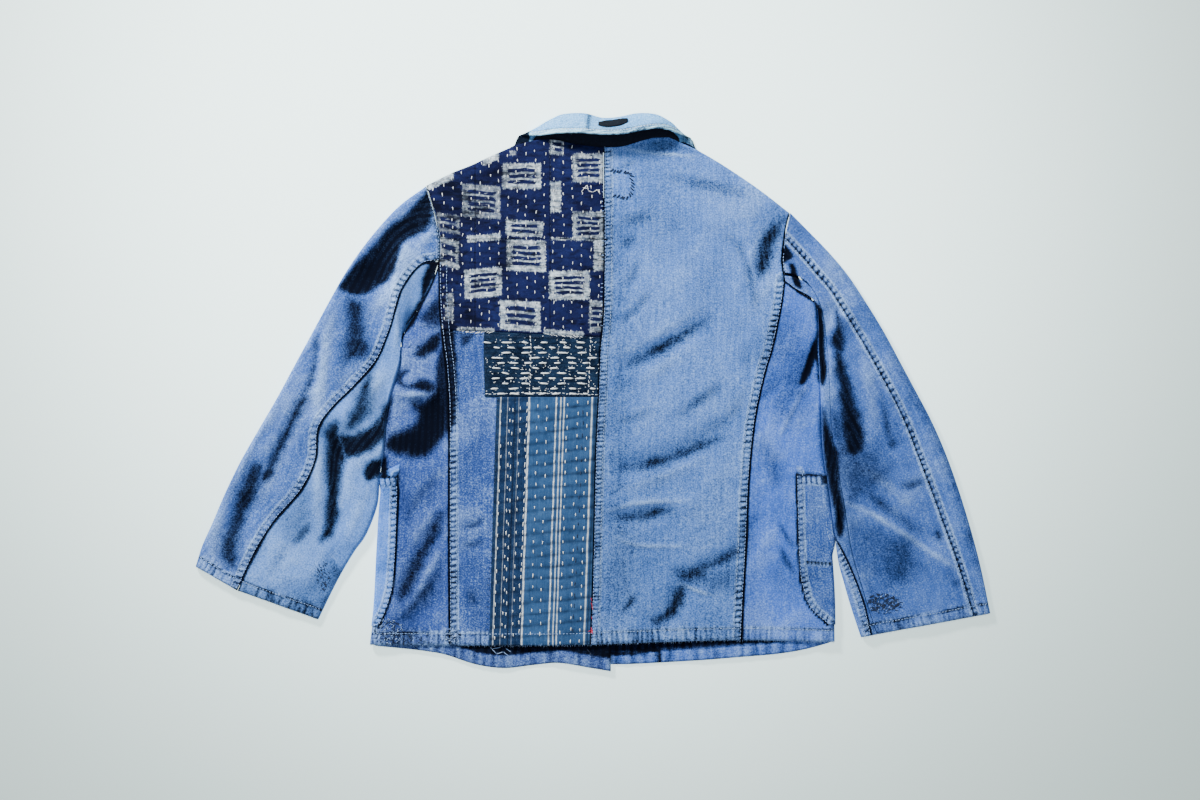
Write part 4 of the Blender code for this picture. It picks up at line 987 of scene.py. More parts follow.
def cloth(name, grids, wall):
    """A piece of cloth from (plain grid, points, marks) triples. It replaces its own node."""
    sheet = bmesh.new()
    placed = sheet.verts.layers.float_vector.new("cloth")
    marked = sheet.verts.layers.float_vector.new("marks")
    for grid in grids:
        add_grid(sheet, placed, marked, *grid)
    if len(grids) > 1:
        bmesh.ops.remove_doubles(sheet, verts=sheet.verts, dist=WELD)
    bmesh.ops.recalc_face_normals(sheet, faces=sheet.faces)
    piece = meshed(f"{name}_cloth", sheet)
    shell = piece.modifiers.new("wall", "SOLIDIFY")
    shell.thickness = wall * MM
    shell.offset = 0
    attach(piece, "root")
    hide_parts(name)
    plains = [plain for plain, _, _ in grids]
    areas = [np.linalg.norm(normals_of(plain), axis=2)[:-1, :-1].sum() for plain in plains]
    pieces[name] = piece


def steps(length, spacing=FINE):
    return max(2, int(length / spacing))


# %% The two back halves
BACK_UP = runs(0, (1, steps(334)), (2, steps(84)), (3, steps(256)), (4, 6))
BACKS = {  # side, places across, seams, what it rests on
    "back_right": (
        1, runs(0, (1, steps(258))), ["centre_back", "side_right", "armhole_right", "back_hem"],
        ["front_right", "front_left"],
    ),
    "back_left": (
        -1, runs(0, (1, 14), (2, 8), (3, steps(54))), ["side_left", "armhole_left", "back_hem"],
        ["front_left", "front_right"],
    ),
}
for name, (side, across, seams, under) in BACKS.items():
    plain = back_sheet(side, across, BACK_UP)
    cloth(name, [(plain, *dressed(plain, seams))], CLOTH)

# %% [markdown]
# The old patches lie on the left back, one over another, quilted down with running stitch.
# Each is made from the back's own points, moved out by half the two walls. Between the
# rows of stitches the padding rises in soft ribs, which are part of the patch's relief.

# %% Patches
PATCH_OUT = CLOTH / 2 + GAP + 0.05 + PATCH / 2


def quilting(x, y, row_pitch, tilt, height, seed):
    """Soft ribs between rows of running stitch, as uneven as hand sewing."""
    drift = 2.2 * mottle(x, y, 42, seed)
    rib = abs(np.sin(math.pi * ((y + tilt * x + drift) / row_pitch))) ** 0.7
    return height * (rib - 0.6) * (0.75 + 0.35 * mottle(x, y, 25, seed + 1))


PATCHES = {  # across, up, slot, pitch of rows, tilt, height of ribs, seed, seams
    "patch_kasuri": (
        runs(0, (1, steps(118)), (2, steps(30)), (3, steps(78))), BACK_UP[BACK_UP >= 2],
        "navy_kasuri", 15, 0.06, 0.55, 21, ["armhole_left", "side_left"],
    ),
    "patch_sashiko": (
        runs(0, (1, steps(134, 1.9)), (2, 8)), runs(1, (1.995, steps(84, 1.9))),
        "navy_sashiko", 6.8, 0, 0.8, 31, [],
    ),
    "patch_stripe": (
        runs(0, (1, steps(140, 2))), runs(0, (0.998, steps(334, 2))),
        "blue_stripe", 15.2, -0.1, 0.65, 41, ["back_hem"],
    ),
}
for name, (across, up, slot, pitch, tilt, height, seed, seams) in PATCHES.items():
    plain = back_sheet(-1, across, up)
    x, y = plain[..., 0], plain[..., 1]
    ribs = quilting(x, y, pitch, tilt, height, seed) + 0.14 * mottle(x, y, 4, seed + 2)
    points, marks = dressed(plain, seams, PATCH_OUT, ribs)
    marks[..., 2] = ribs
    cloth(name, [(plain, points, marks)], PATCH)

# %% [markdown]
# Fronts and pockets. The pocket is a patch pocket, so it is made from the front's points
# and wraps round the side fold with it.

# %% Fronts and pockets
FACING_ROWS = (-347, -352.5)  # stitches of the right facing, where it shows under the hem
FACING_FROM, FACING_TO = 18, 89


def hemmed(under, side):
    """The hidden layer of a front, with its own hem where it shows below the back."""
    points, marks = dressed(under, [])
    x, y = under[..., 0], under[..., 1]
    above = y - along([(at, level) for at, level in FRONT_HEM[side]], x)
    rib = np.sin(2 * math.pi * x / 6.3 + 2 * mottle(x, x * 0, 25, 92))
    rib = np.clip(0.8 * rib + 1.5 * mottle(x, above * 0.12, 3.2, 91), -1, 1)
    band = eased((18 - above) / 2)
    inside = bell(above - 8, 11, 4)
    marks[..., 0] = band * (0.08 + 0.22 * np.maximum(rib, 0))
    # Painted shade in the troughs of the hem's ribs; the layer a little darker all over, and a
    # painted shadow along and above the hem band, where the back lies over it.
    marks[..., 1] = 0.24 * band * np.maximum(-rib, 0) + 0.75 * eased((above - 17) / 3)
    marks[..., 1] += 0.1 + 0.5 * bell(above - 17.5, 1.4)
    points[..., 2] += 0.5 * band + 0.45 * (1 + rib) * inside
    facing = eased((x - FACING_FROM) / 2) * eased((FACING_TO - x) / 2)
    for level in FACING_ROWS:
        marks[..., 1] += 0.8 * facing * bell(y - level, 1.1)
    marks[..., 1] += 0.9 * band * bell(x - FACING_TO, 1.3)
    edge = bell(x - 16.5 - 0.29 * (-340 - y), 1.4) * band
    marks[..., 0] += 0.9 * edge
    return points, marks


POCKET_SEAMS = {
    -1: ["pocket_left", "pocket_top_left"],
    1: ["pocket_right", "pocket_top_right", "pocket_bar_right"],
}
POCKET_OUT = CLOTH / 2 + GAP + 0.1 + PATCH / 2
WORDS = {-1: "left", 1: "right"}
for side, word in WORDS.items():
    low_rows = np.linspace(0, 1, steps(430, 3))
    high_rows = runs(1, (2, 26), (3, 5))[1:]
    wing_shares = np.linspace(0, 1, steps(100))
    under_shares = runs(0, (1, steps(300, 4)))
    wing, under = front_sheets(side, wing_shares, under_shares, low_rows, high_rows)
    names = [f"side_{word}", f"underarm_{word}", "back_hem", f"pocket_{word}"]
    dressed_wing, dressed_under = dressed(wing, names), hemmed(under, side)
    grids = [(wing, *dressed_wing), (under, *dressed_under)]
    cloth(f"front_{word}", grids, CLOTH)
    pocket = pocket_sheet(side, steps(60), steps(170, 5), steps(235))
    grids = [(pocket, *dressed(pocket, POCKET_SEAMS[side], POCKET_OUT))]
    cloth(f"pocket_{word}", grids, PATCH)

# %% Sleeves in four pieces
share = np.linspace(0, 1, steps(600))
left_seam = 2 * LEFT_FRONT_SEAM
seam_from, seam_to = front_seam(share)


def lengthwise(side, places, layer="top"):
    """Columns down the sleeve at places round it."""
    return [sleeve_points(side, share, place, layer) for place in places]


SLEEVE_PIECES = {  # side, its seams, its columns
    "left_top": (
        -1, ["elbow_left", "cuff_left", "armhole_left"],
        lengthwise(-1, np.linspace(0.996, 0.12, steps(95)))
        + sleeve_fold(-1, share, "outer", TURNS, 5)
        + lengthwise(-1, np.linspace(0, left_seam - 0.003, 26)[1:], "low"),
    ),
    "left_under": (
        -1, ["elbow_left", "cuff_left", "armhole_left"],
        lengthwise(-1, np.linspace(1.88, 1.004, steps(70))[::-1])
        + sleeve_fold(-1, share, "inner", TURNS, 4)
        + lengthwise(-1, (1.9, 1.8, 1.7, left_seam + 0.003), "low"),
    ),
    "right_top": (
        1, ["elbow_right", "cuff_right", "inner_right"],
        lengthwise(1, np.linspace(0.998, 0.12, steps(60)))
        + sleeve_fold(1, share, "outer", TURNS, 5)
        + lengthwise(1, np.linspace(0, 1.8, 32)[1:], "low")
        + sleeve_fold(1, share, "inner", TURNS[::-1], 3)[1:]
        + lengthwise(
            1, [mix(1.955, np.maximum(seam_to, 1.001), k) for k in np.linspace(0, 1, 16)]
        ),
    ),
    "right_under": (
        1, ["elbow_right", "cuff_right", "inner_right", "armhole_right"],
        lengthwise(
            1, [np.maximum(mix(1.003, seam_from, k), 1.001) for k in np.linspace(0, 1, steps(110))]
        ),
    ),
}
for word, (side, names, columns) in SLEEVE_PIECES.items():
    plain = np.stack(columns, axis=1)
    cloth(f"sleeve_{word}", [(plain, *dressed(plain, names))], CLOTH)

# %% Collar
COLLAR_ROW = 7.5  # from the fall's edge to its row of stitches


def collar_marks(plain, marks):
    """The fall's own wear: a roped pale edge, a stitched groove with painted shade in it, and one
    old dark run. Both ends get painted shade where the fall turns under.
    """
    down, run = lengths_of(plain, 0), lengths_of(plain, 1)
    left = down[-1:] - down
    beyond = eased((COLLAR_ROW - left) / 1.5)
    rope = np.clip(1.8 * mottle(run + 0.5 * left, left * 0.2, 3.2, 97), -1, 1) * beyond
    groove = bell(left - COLLAR_ROW, 1)
    edge = bell(left - 1, 1.5)
    x, y = plain[..., 0], plain[..., 1]
    run_down = bell(x + 6.5 + 0.1 * (360 - y), 2.6) * eased((y - 350) / 5)
    blot = bell(x - 30, 26) * bell(y - 352, 8)
    # Painted shade on both ends of the fall, where it turns under the fronts.
    marks[..., 1] += 1.2 * eased((-85 - x) / 2) + 0.3 * eased((x - 119) / 2)
    marks[..., 0] += 0.2 * beyond + 0.65 * edge + 0.35 * np.maximum(rope, 0)
    marks[..., 1] += 0.3 * groove + 0.35 * np.maximum(-rope, 0) + 0.5 * run_down + 0.12 * blot
    return 0.35 * rope - 0.35 * groove


stand, fall = collar_sheets(steps(330, 2), 12, steps(46, 1.8))
# The stand's first row is tucked down under the back's top edge, so that the near-black stand, a
# painted shadow, fills the gap there.
tuck = stand[:1].copy()
tucked = eased((tuck[..., 2] - 5) / 2)
tuck[..., 1] -= 1 + 7 * tucked
tuck[..., 2] -= 3.4 * tucked
stand = np.concatenate([tuck, stand])
for name, plain, slot in (
    ("collar_stand", stand, "dark_under_collar"),
    ("collar_fall", fall, "pale_collar_twill"),
):
    points, marks = dressed(plain, [])
    if name == "collar_fall":
        points[..., 2] += collar_marks(plain, marks)
    cloth(name, [(plain, points, marks)], COLLAR)

# %% [markdown]
# Indigo work cloth is yarn-dyed only skin deep, so ridges, seam edges and thread tops rub
# pale. The marks add painted highlights along crease ridges, and the darkness in folds,
# seams and hollows is painted shade. The cloth is a herringbone twill: diagonal ribs that
# turn every few millimetres and show from afar as faint stripes down the warp. Two shared
# groups make these, and every blue panel's material uses them with its own tone.

# %% Node helper
class Wires:
    """Adds nodes to one tree. A source is a socket, which is linked, or a value, which is set."""

    def __init__(self, tree):
        self.tree = tree

    def node(self, kind, *sources, out=0, **settings):
        made = self.tree.nodes.new("ShaderNode" + kind)
        for key, value in settings.items():
            setattr(made, key, value)
        for socket, source in zip(made.inputs, sources):
            self.feed(socket, source)
        return made.outputs[out]

    def feed(self, socket, source):
        if isinstance(source, bpy.types.NodeSocket):
            self.tree.links.new(source, socket)
        elif source is not None:
            socket.default_value = source

    def feed_all(self, sockets, sources):
        for name, source in sources.items():
            self.feed(sockets[name], source)

    def math(self, operation, *sources, clamp=False):
        return self.node("Math", *sources, operation=operation, use_clamp=clamp)

    def sum(self, *sources, clamp=False):
        total = sources[0]
        for source in sources[1:]:
            total = self.math("ADD", total, source, clamp=clamp)
        return total

    def times(self, *sources):
        total = sources[0]
        for source in sources[1:]:
            total = self.math("MULTIPLY", total, source)
        return total

    def less(self, first, second):
        return self.math("SUBTRACT", first, second)

    def gap(self, first, second):
        return self.math("ABSOLUTE", self.less(first, second))

    def most(self, first, second):
        return self.math("MAXIMUM", first, second)

    def ramp(self, value, start, end, low=0, high=1):
        """The value taken from one range to another, and held inside it."""
        return self.node("MapRange", value, start, end, low, high, clamp=True)

    def noise(self, place, size, detail=2, rough=0.5, stretch=(1, 1, 1)):
        """Noise whose swells are about size metres across."""
        scaled = self.node("Mapping", place, None, None, tuple(1 / (size * s) for s in stretch))
        made = self.tree.nodes.new("ShaderNodeTexNoise")
        settings = {"Vector": scaled, "Scale": 1, "Detail": detail, "Roughness": rough}
        self.feed_all(made.inputs, settings)
        return made.outputs[0]

    def sway(self, share, *noise):
        """Noise about zero, as a share of its full swing."""
        return self.times(self.less(self.noise(*noise), 0.5), share)

    def blend(self, part, first, second):
        """Two colours mixed by part. A colour is a socket, or its red, green and blue."""
        made = self.tree.nodes.new("ShaderNodeMix")
        made.data_type = "RGBA"
        self.feed(made.inputs[0], part)
        for socket, colour in ((made.inputs[6], first), (made.inputs[7], second)):
            self.feed(socket, (*colour, 1) if isinstance(colour, tuple) else colour)
        return made.outputs[2]

    def parts(self, vector):
        made = self.tree.nodes.new("ShaderNodeSeparateXYZ")
        self.feed(made.inputs[0], vector)
        return tuple(made.outputs[:3])

    def use(self, group, **sources):
        made = self.tree.nodes.new("ShaderNodeGroup")
        made.node_tree = group
        self.feed_all(made.inputs, sources)
        return made.outputs


def make_group(name, takes, gives, fill):
    """A node group. Its sockets are vectors or floats, by the letter given for each."""
    kinds = {"v": "NodeSocketVector", "f": "NodeSocketFloat"}
    tree = bpy.data.node_groups.new(name, "ShaderNodeTree")
    for labels, way in ((takes, "INPUT"), (gives, "OUTPUT")):
        for label, kind in labels.items():
            tree.interface.new_socket(label, in_out=way, socket_type=kinds[kind])
    start, end = tree.nodes.new("NodeGroupInput"), tree.nodes.new("NodeGroupOutput")
    for socket, source in zip(end.inputs, fill(Wires(tree), *start.outputs[:-1])):
        tree.links.new(source, socket)
    return tree


# %% Herringbone group
RIB_LEAN = 1.3  # how far a rib climbs for each step across
WAVE = 6.2832  # of one rib


def fill_herringbone(w, cloth_place, column, pitch):
    u, v, _ = w.parts(cloth_place)
    u = w.sum(u, w.sway(0.0012, cloth_place, 0.05, 1))
    turn = w.math("PINGPONG", u, column)
    climb = w.math("DIVIDE", w.sum(v, w.times(turn, RIB_LEAN)), pitch)
    line = w.math("SINE", w.times(climb, WAVE))
    side = w.math("GREATER_THAN", w.math("FRACT", w.math("DIVIDE", u, w.times(column, 2))), 0.5)
    return w.ramp(line, -0.9, 0.9), side


herringbone = make_group(
    "herringbone_weave", {"Cloth": "v", "Column": "f", "Pitch": "f"},
    {"Ribs": "f", "Side": "f"}, fill_herringbone,
)


# %% Wash group
def fill_wash(w, place, cloth_place, wear, deep, amount):
    clouds = w.noise(place, 0.055, 3, 0.6)
    streaks = w.noise(cloth_place, 0.0032, 2, 0.6, (1, 14, 1))
    picks = w.noise(cloth_place, 0.0026, 2, 0.6, (6, 1, 1))
    grain = w.noise(place, 0.0019, 2, 0.75)
    patches = w.noise(place, 0.012, 3, 0.65)
    shares = ((clouds, 0.55), (patches, 0.4), (streaks, 0.45), (picks, 0.35), (grain, 2.5))
    swing = w.sum(*(w.times(w.less(part, 0.5), share) for part, share in shares))
    swing = w.times(swing, amount)
    # The Wear mark carries real wear and painted highlights; the Deep mark is mostly painted
    # shade, with a few real stains, and both are broken up by the grain.
    rubbed = w.times(wear, w.ramp(w.sum(grain, w.times(patches, 0.6)), 0.5, 1.05, 0.55, 1.5))
    pale = w.sum(rubbed, w.most(swing, 0), clamp=True)
    painted_shade = w.times(deep, w.ramp(w.sum(grain, w.times(patches, 0.5)), 0.45, 1, 1.25, 0.75))
    dark = w.sum(painted_shade, w.most(w.times(swing, -0.55), 0))
    dark = w.times(dark, w.sum(w.times(dark, 1.5), 1))
    dark = w.math("SUBTRACT", 1, w.math("EXPONENT", w.times(dark, -2.2)), clamp=True)
    height = w.sum(w.times(grain, 0.6), w.times(streaks, 0.5), w.times(picks, 0.4))
    return pale, dark, height


wash = make_group(
    "indigo_wash", {"Place": "v", "Cloth": "v", "Wear": "f", "Deep": "f", "Amount": "f"},
    {"Pale": "f", "Dark": "f", "Height": "f"}, fill_wash,
)


# %% Materials from the groups
SHEEN_TINT = (0.75, 0.85, 1, 1)
BUMP_HEIGHT = 0.0005


class Look(Wires):
    """A new material, with its shader and the places and marks that it reads."""

    def __init__(self, name, roughness=0.92, sheen=0.02, gloss=0.04):
        self.material = bpy.data.materials.new(name)
        self.material.use_nodes = True
        super().__init__(self.material.node_tree)
        self.shader = self.tree.nodes["Principled BSDF"].inputs
        self.feed_all(self.shader, {
            "Roughness": roughness, "Sheen Weight": sheen, "Sheen Tint": SHEEN_TINT,
            "Specular IOR Level": gloss,
        })
        self.place = self.node("TexCoord", out=3)
        self.cloth = self.node("Attribute", attribute_name="cloth", out=1)
        # The marks: wear with painted highlights, a dark mark that is mostly painted shade, and
        # the relief's lift or a patch's quilting ribs.
        marks = self.node("Attribute", attribute_name="marks", out=1)
        self.wear, self.deep, self.rib = self.parts(marks)

    def ends(self, colour, height=None, strength=0.5):
        """Gives the shader its colour, and a bump from a height. Returns the material."""
        self.feed(self.shader["Base Color"], colour)
        if height is not None:
            bump = self.tree.nodes.new("ShaderNodeBump")
            values = {"Strength": strength, "Distance": BUMP_HEIGHT, "Height": height}
            self.feed_all(bump.inputs, values)
            self.feed(self.shader["Normal"], bump.outputs[0])
        return self.material


def twill(name, tone, pale_tone, shade_tone, amount=0.55, stripe=0.2):
    w = Look(name)
    ribs, side = w.use(herringbone, Cloth=w.cloth, Column=0.005, Pitch=0.0016)[:2]
    pale, dark, height = w.use(
        wash, Place=w.place, Cloth=w.cloth, Wear=w.wear, Deep=w.deep, Amount=amount
    )[:3]
    faint = w.ramp(w.noise(w.cloth, 0.03, 2), 0.35, 0.7, 0.25, 1)
    stripes = w.times(w.less(side, 0.5), faint, stripe)
    pale = w.sum(pale, w.most(stripes, 0), w.times(ribs, 0.06), clamp=True)
    dark = w.sum(dark, w.most(w.times(stripes, -1), 0), clamp=True)
    # Painted shade: the dark mark takes the tone down to a third of itself, then to a near-black
    # core.
    shaded = w.blend(w.ramp(dark, 0.5, 1), tuple(c * 0.3 for c in tone), shade_tone)
    colour = w.blend(dark, w.blend(pale, tone, pale_tone), shaded)
    return w.ends(colour, w.sum(w.times(ribs, 0.5), height))


def wears(name, material):
    pieces[name].data.materials.clear()
    pieces[name].data.materials.append(material)


# %% Twill panels
# The first is the colour of wear and painted highlights, the second the near-black core of painted
# shade.
PALE, SHADE_CORE = (0.34, 0.56, 0.98), (0.001, 0.002, 0.007)
TONES = {  # tone, swing of the wash, strength of the stripes
    "back_right": ((0.072, 0.19, 0.58), 1.05, 0.16),
    "back_left": ((0.02, 0.056, 0.26), 0.85, 0.1),
    "front_left": ((0.026, 0.064, 0.3), 0.75, 0.08),
    "front_right": ((0.048, 0.14, 0.6), 0.75, 0.1),
    "pocket_left": ((0.075, 0.23, 0.78), 0.8, 0.08),
    "pocket_right": ((0.022, 0.068, 0.3), 0.75, 0.1),
    "sleeve_left_top": ((0.04, 0.105, 0.38), 0.8, 0.08),
    "sleeve_left_under": ((0.085, 0.22, 0.62), 0.8, 0.08),
    "sleeve_right_top": ((0.05, 0.13, 0.46), 0.75, 0.08),
    "sleeve_right_under": ((0.042, 0.112, 0.42), 0.7, 0.08),
}
for name, (tone, amount, stripe) in TONES.items():
    wears(name, twill(f"twill_{name}", tone, PALE, SHADE_CORE, amount, stripe))
# The stand is painted near black: a painted shadow for the dark gap under the standing fall.
STAND_SHADOW, STAND_SHADOW_CORE = (0.02, 0.03, 0.06), (0, 0, 0.002)
fall_tones = (0.12, 0.35, 0.75), (0.46, 0.82, 1), (0.004, 0.008, 0.02)
wears("collar_fall", twill("twill_collar", *fall_tones, 1, 0.1))
wears("collar_stand", twill("twill_under_collar_painted_shadow", (0.008, 0.01, 0.018), STAND_SHADOW, STAND_SHADOW_CORE, 0.3, 0))
print(len(TONES) + 2, "pieces of twill")

# %% [markdown]
# The kasuri cotton is woven from yarn that was bound before it was dyed, so its pale squares
# have feathered edges and dark bars inside. Each square is listed with its own size.
# The old cloth is soft: some squares are rubbed, some are stained dark.

# %% A kasuri square
def fill_square(w, place, middle, half, bars, inner, tilt):
    """One pale ikat square with dark bars in its middle. Half and inner are half sizes."""
    x, y, _ = w.parts(w.node("VectorMath", place, middle, operation="SUBTRACT"))
    y = w.less(y, w.times(x, tilt))
    fray_up = w.sway(0.009, place, 0.0016, 2, 0.7, (1, 8, 1))
    fray_side = w.sway(0.008, place, 0.003, 2, 0.7)
    wave = w.sway(0.004, place, 0.014, 1)
    half_x, half_y, _ = w.parts(half)
    inner_x, inner_y, _ = w.parts(inner)
    across, up = w.math("ABSOLUTE", x), w.math("ABSOLUTE", y)
    out_x = w.sum(w.less(across, half_x), fray_side)
    out_y = w.sum(w.less(up, half_y), fray_up)
    cover = w.ramp(w.most(out_x, out_y), -0.0008, 0.0008, 1, 0)
    in_x = w.sum(w.less(across, inner_x), w.times(fray_side, 2))
    in_y = w.sum(w.less(up, inner_y), fray_side)
    inside = w.ramp(w.most(in_x, in_y), -0.0006, 0.0006, 1, 0)
    shifted = w.math("DIVIDE", w.sum(y, inner_y, wave), w.times(inner_y, 2))
    phase = w.math("FRACT", w.times(shifted, bars))
    bar = w.ramp(w.gap(phase, 0.5), 0.26, 0.42, 1, 0)
    broken = w.ramp(w.noise(place, 0.004, 2, 0.6, (2.5, 1, 1)), 0.3, 0.4, 0.25, 1)
    grime = w.ramp(w.noise(place, 0.006, 3, 0.85, (1, 1.6, 1)), 0.42, 0.6, 1, 0.35)
    return (w.times(cover, grime, w.less(1, w.times(inside, bar, broken))),)


ikat_square = make_group(
    "ikat_square",
    {"Place": "v", "Middle": "v", "Half": "v", "Bars": "f", "Inner": "v", "Tilt": "f"},
    {"Cover": "f"}, fill_square,
)

# %% Kasuri cotton
# left, right, bottom, top, bars, dirt, tilt
SQUARES = rows_of("""
-122 -70 275 309 3 0.15 0; -27 15 284 322 4 0.3 0; -58 -40 321 342 2 0.35 -0.1;
-57 -43 243 284 0 0.1 0; -176 -125 236 280 4 0.45 -0.08; -117 -68 211 232 2 0.1 -0.06;
-116 -64 164 206 4 0.05 -0.04; -27 15 206 244 4 0.35 0; -210 -180 216 241 2 0.6 -0.15;
-207 -181 170 208 2 0.35 -0.3; -169 -125 205 213 0 0 0.08; -56 3 205.8 208.4 0 0 -0.02;
1 15 165 210 0 0.1 0; -173 -123 129 168 4 0.1 0.1; -59 -5 126 164 4 0 0;
-125 -71 84 124 3 0.2 -0.06; -5 15 82 124 4 0.2 0; -199 -188 97 134 0 0.6 0;
-183 -133 80 88 0 0.2 -0.05; -66 -13 74 84 0 0.15 -0.06; -112 -104 320 326 0 0.5 0;
-222 -188 280 296 0 0.05 0.42; -148 -127 310 324 0 0.05 0.4""")
JOIN_Y, JOINS_X = 0.2072, (-0.1585, -0.0575)  # where the kasuri is pieced, in metres


def kasuri():
    w = Look("kasuri_cotton", 0.95, 0)
    total = None
    for left, right, bottom, top, bars, dirt, tilt in SQUARES:
        half = ((right - left) / 2 * MM, (top - bottom) / 2 * MM, 0)
        inner = (half[0] * 0.74, half[1] * 0.7, 0) if bars else (0, 0, 0)
        cover = w.use(
            ikat_square, Place=w.place, Half=half, Bars=float(bars), Inner=inner, Tilt=tilt,
            Middle=((left + right) / 2 * MM, (bottom + top) / 2 * MM, 0),
        )[0]
        if dirt:
            worn = w.noise(w.place, 0.009, 3, 0.7)
            cover = w.times(cover, w.ramp(worn, 0.5 - dirt * 0.45, 0.85 - dirt * 0.4, 1, 0.2))
        total = cover if total is None else w.most(total, cover)
    grain = w.noise(w.place, 0.0015, 2, 0.8)
    clouds = w.noise(w.place, 0.03, 3, 0.65)
    yarn = w.noise(w.place, 0.0014, 2, 0.6, (8, 1, 1))
    dark = w.use(wash, Place=w.place, Cloth=w.place, Wear=w.wear, Deep=w.deep, Amount=0.4)[1]
    ground = w.blend(w.ramp(clouds, 0.3, 0.75), (0.005, 0.006, 0.032), (0.012, 0.017, 0.08))
    ground = w.blend(w.ramp(grain, 0.55, 0.85, 0, 0.35), ground, (0.05, 0.08, 0.23))
    pucker = w.noise(w.place, 0.006, 3, 0.7, (3, 1, 1))
    white = w.blend(w.ramp(yarn, 0.35, 0.7), (0.3, 0.42, 0.54), (0.88, 0.97, 1))
    colour = w.blend(total, ground, white)
    x, y, _ = w.parts(w.place)
    joins = [w.gap(y, JOIN_Y), *(w.gap(x, at) for at in JOINS_X)]
    joins = [w.ramp(join, 0, 0.0016, 0.85, 0) for join in joins]
    creased = w.most(w.most(joins[0], joins[1]), joins[2])
    # Painted shade in the troughs of the quilting ribs and in random pucker folds, on top of the
    # dark mark and the dark pieced joins.
    shade = w.sum(w.times(dark, 0.75), w.times(creased, 0.5), w.ramp(w.rib, 0, -0.3, 0, 0.45))
    shade = w.sum(shade, w.ramp(pucker, 0.5, 0.66, 0, 0.65))
    colour = w.blend(w.math("MINIMUM", shade, 0.92), colour, (0.003, 0.004, 0.012))
    return w.ends(colour, w.sum(w.times(grain, 0.7), yarn, w.times(creased, -2)), 0.55)


wears("patch_kasuri", kasuri())
print(len(SQUARES), "squares in the kasuri")

# %% Sashiko ground
def sashiko():
    w = Look("sashiko_ground", 0.95, 0)
    grain = w.noise(w.place, 0.0015, 2, 0.8)
    clouds = w.noise(w.place, 0.014, 3, 0.65)
    colour = w.blend(w.ramp(clouds, 0.35, 0.7), (0.002, 0.006, 0.018), (0.009, 0.024, 0.058))
    colour = w.blend(w.ramp(grain, 0.55, 0.8, 0, 0.4), colour, (0.1, 0.17, 0.27))
    # Painted shade in the troughs of the quilting ribs.
    colour = w.blend(w.ramp(w.rib, 0.1, -0.35, 0, 0.7), colour, (0.002, 0.004, 0.01))
    return w.ends(colour, grain, 0.6)


wears("patch_sashiko", sashiko())

# %% Striped cotton
STRIPES = (  # x of the warp line at the patch's top, its half width, how white
    (-124, 0.8, 0.55), (-114.5, 0.5, 0.3), (-104.5, 0.9, -0.8), (-99.5, 0.5, 0.2),
    (-85.5, 1.1, 0.8), (-49.2, 0.9, 0.75), (-43.2, 0.8, 0.7), (-38.6, 0.8, 0.75),
    (-0.9, 1, 0.75), (3.4, 1.4, -0.7),
)
STRIPE_TOP, WARP_LEAN = -0.0054, 0.0333  # y of the patch's top in metres, and the warp's slant
WHITE_LINE, DARK_LINE = (0.72, 0.8, 0.84), (0.003, 0.006, 0.016)


def striped():
    w = Look("striped_cotton", 0.95, 0)
    x, y, _ = w.parts(w.place)
    wander = w.sway(0.0016, w.place, 0.03, 1)
    x = w.sum(x, w.times(w.less(STRIPE_TOP, y), WARP_LEAN), wander)
    grain = w.noise(w.place, 0.0015, 2, 0.8)
    clouds = w.noise(w.place, 0.02, 3, 0.65)
    warp = w.noise(w.place, 0.0016, 2, 0.6, (1, 16, 1))
    pile = w.ramp(w.sum(w.times(clouds, 0.6), w.times(warp, 0.5)), 0.4, 0.75)
    light = w.blend(pile, (0.015, 0.05, 0.13), (0.038, 0.1, 0.225))
    navy = w.blend(pile, (0.004, 0.014, 0.045), (0.015, 0.042, 0.11))
    colour = w.blend(w.ramp(x, -0.0876, -0.086, 1, 0), light, navy)
    colour = w.blend(w.ramp(x, -0.131, -0.128, 0.75, 0), colour, (0.006, 0.012, 0.03))
    for at, half, white in STRIPES:
        line = w.ramp(w.gap(x, at * MM), half * 0.5 * MM, half * 1.5 * MM, abs(white), 0)
        line = w.times(line, w.ramp(grain, 0.3, 0.55, 0.55, 1))
        colour = w.blend(line, colour, WHITE_LINE if white > 0 else DARK_LINE)
    colour = w.blend(w.ramp(grain, 0.55, 0.85, 0, 0.25), colour, (0.3, 0.42, 0.55))
    # Painted shade in the troughs of the quilting ribs.
    colour = w.blend(w.ramp(w.rib, 0.1, -0.3, 0, 0.7), colour, (0.004, 0.01, 0.028))
    return w.ends(colour, w.sum(grain, warp), 0.5)


wears("patch_stripe", striped())

# %% [markdown]
# Collar tab, and buttons. The dark lozenge on the collar is a scrap of lining tacked over a
# worn place, so it is one more thin sheet on the fall. The buttons lie under the jacket:
# four horn discs with a rim, a dish and four holes.

# %% Collar tab
def fall_at(x, place):
    """A point of the back part of the fall, by x and by how far down from its roll."""
    middle = fall[:, fall.shape[1] // 3 : 2 * fall.shape[1] // 3]
    number = 5 + place * (fall.shape[0] - 6)
    first = int(number)
    row = mix(middle[first], middle[first + 1], number - first)
    order = np.argsort(row[:, 0])
    return np.array([np.interp(x, row[order, 0], row[order, k]) for k in (0, 1, 2)])


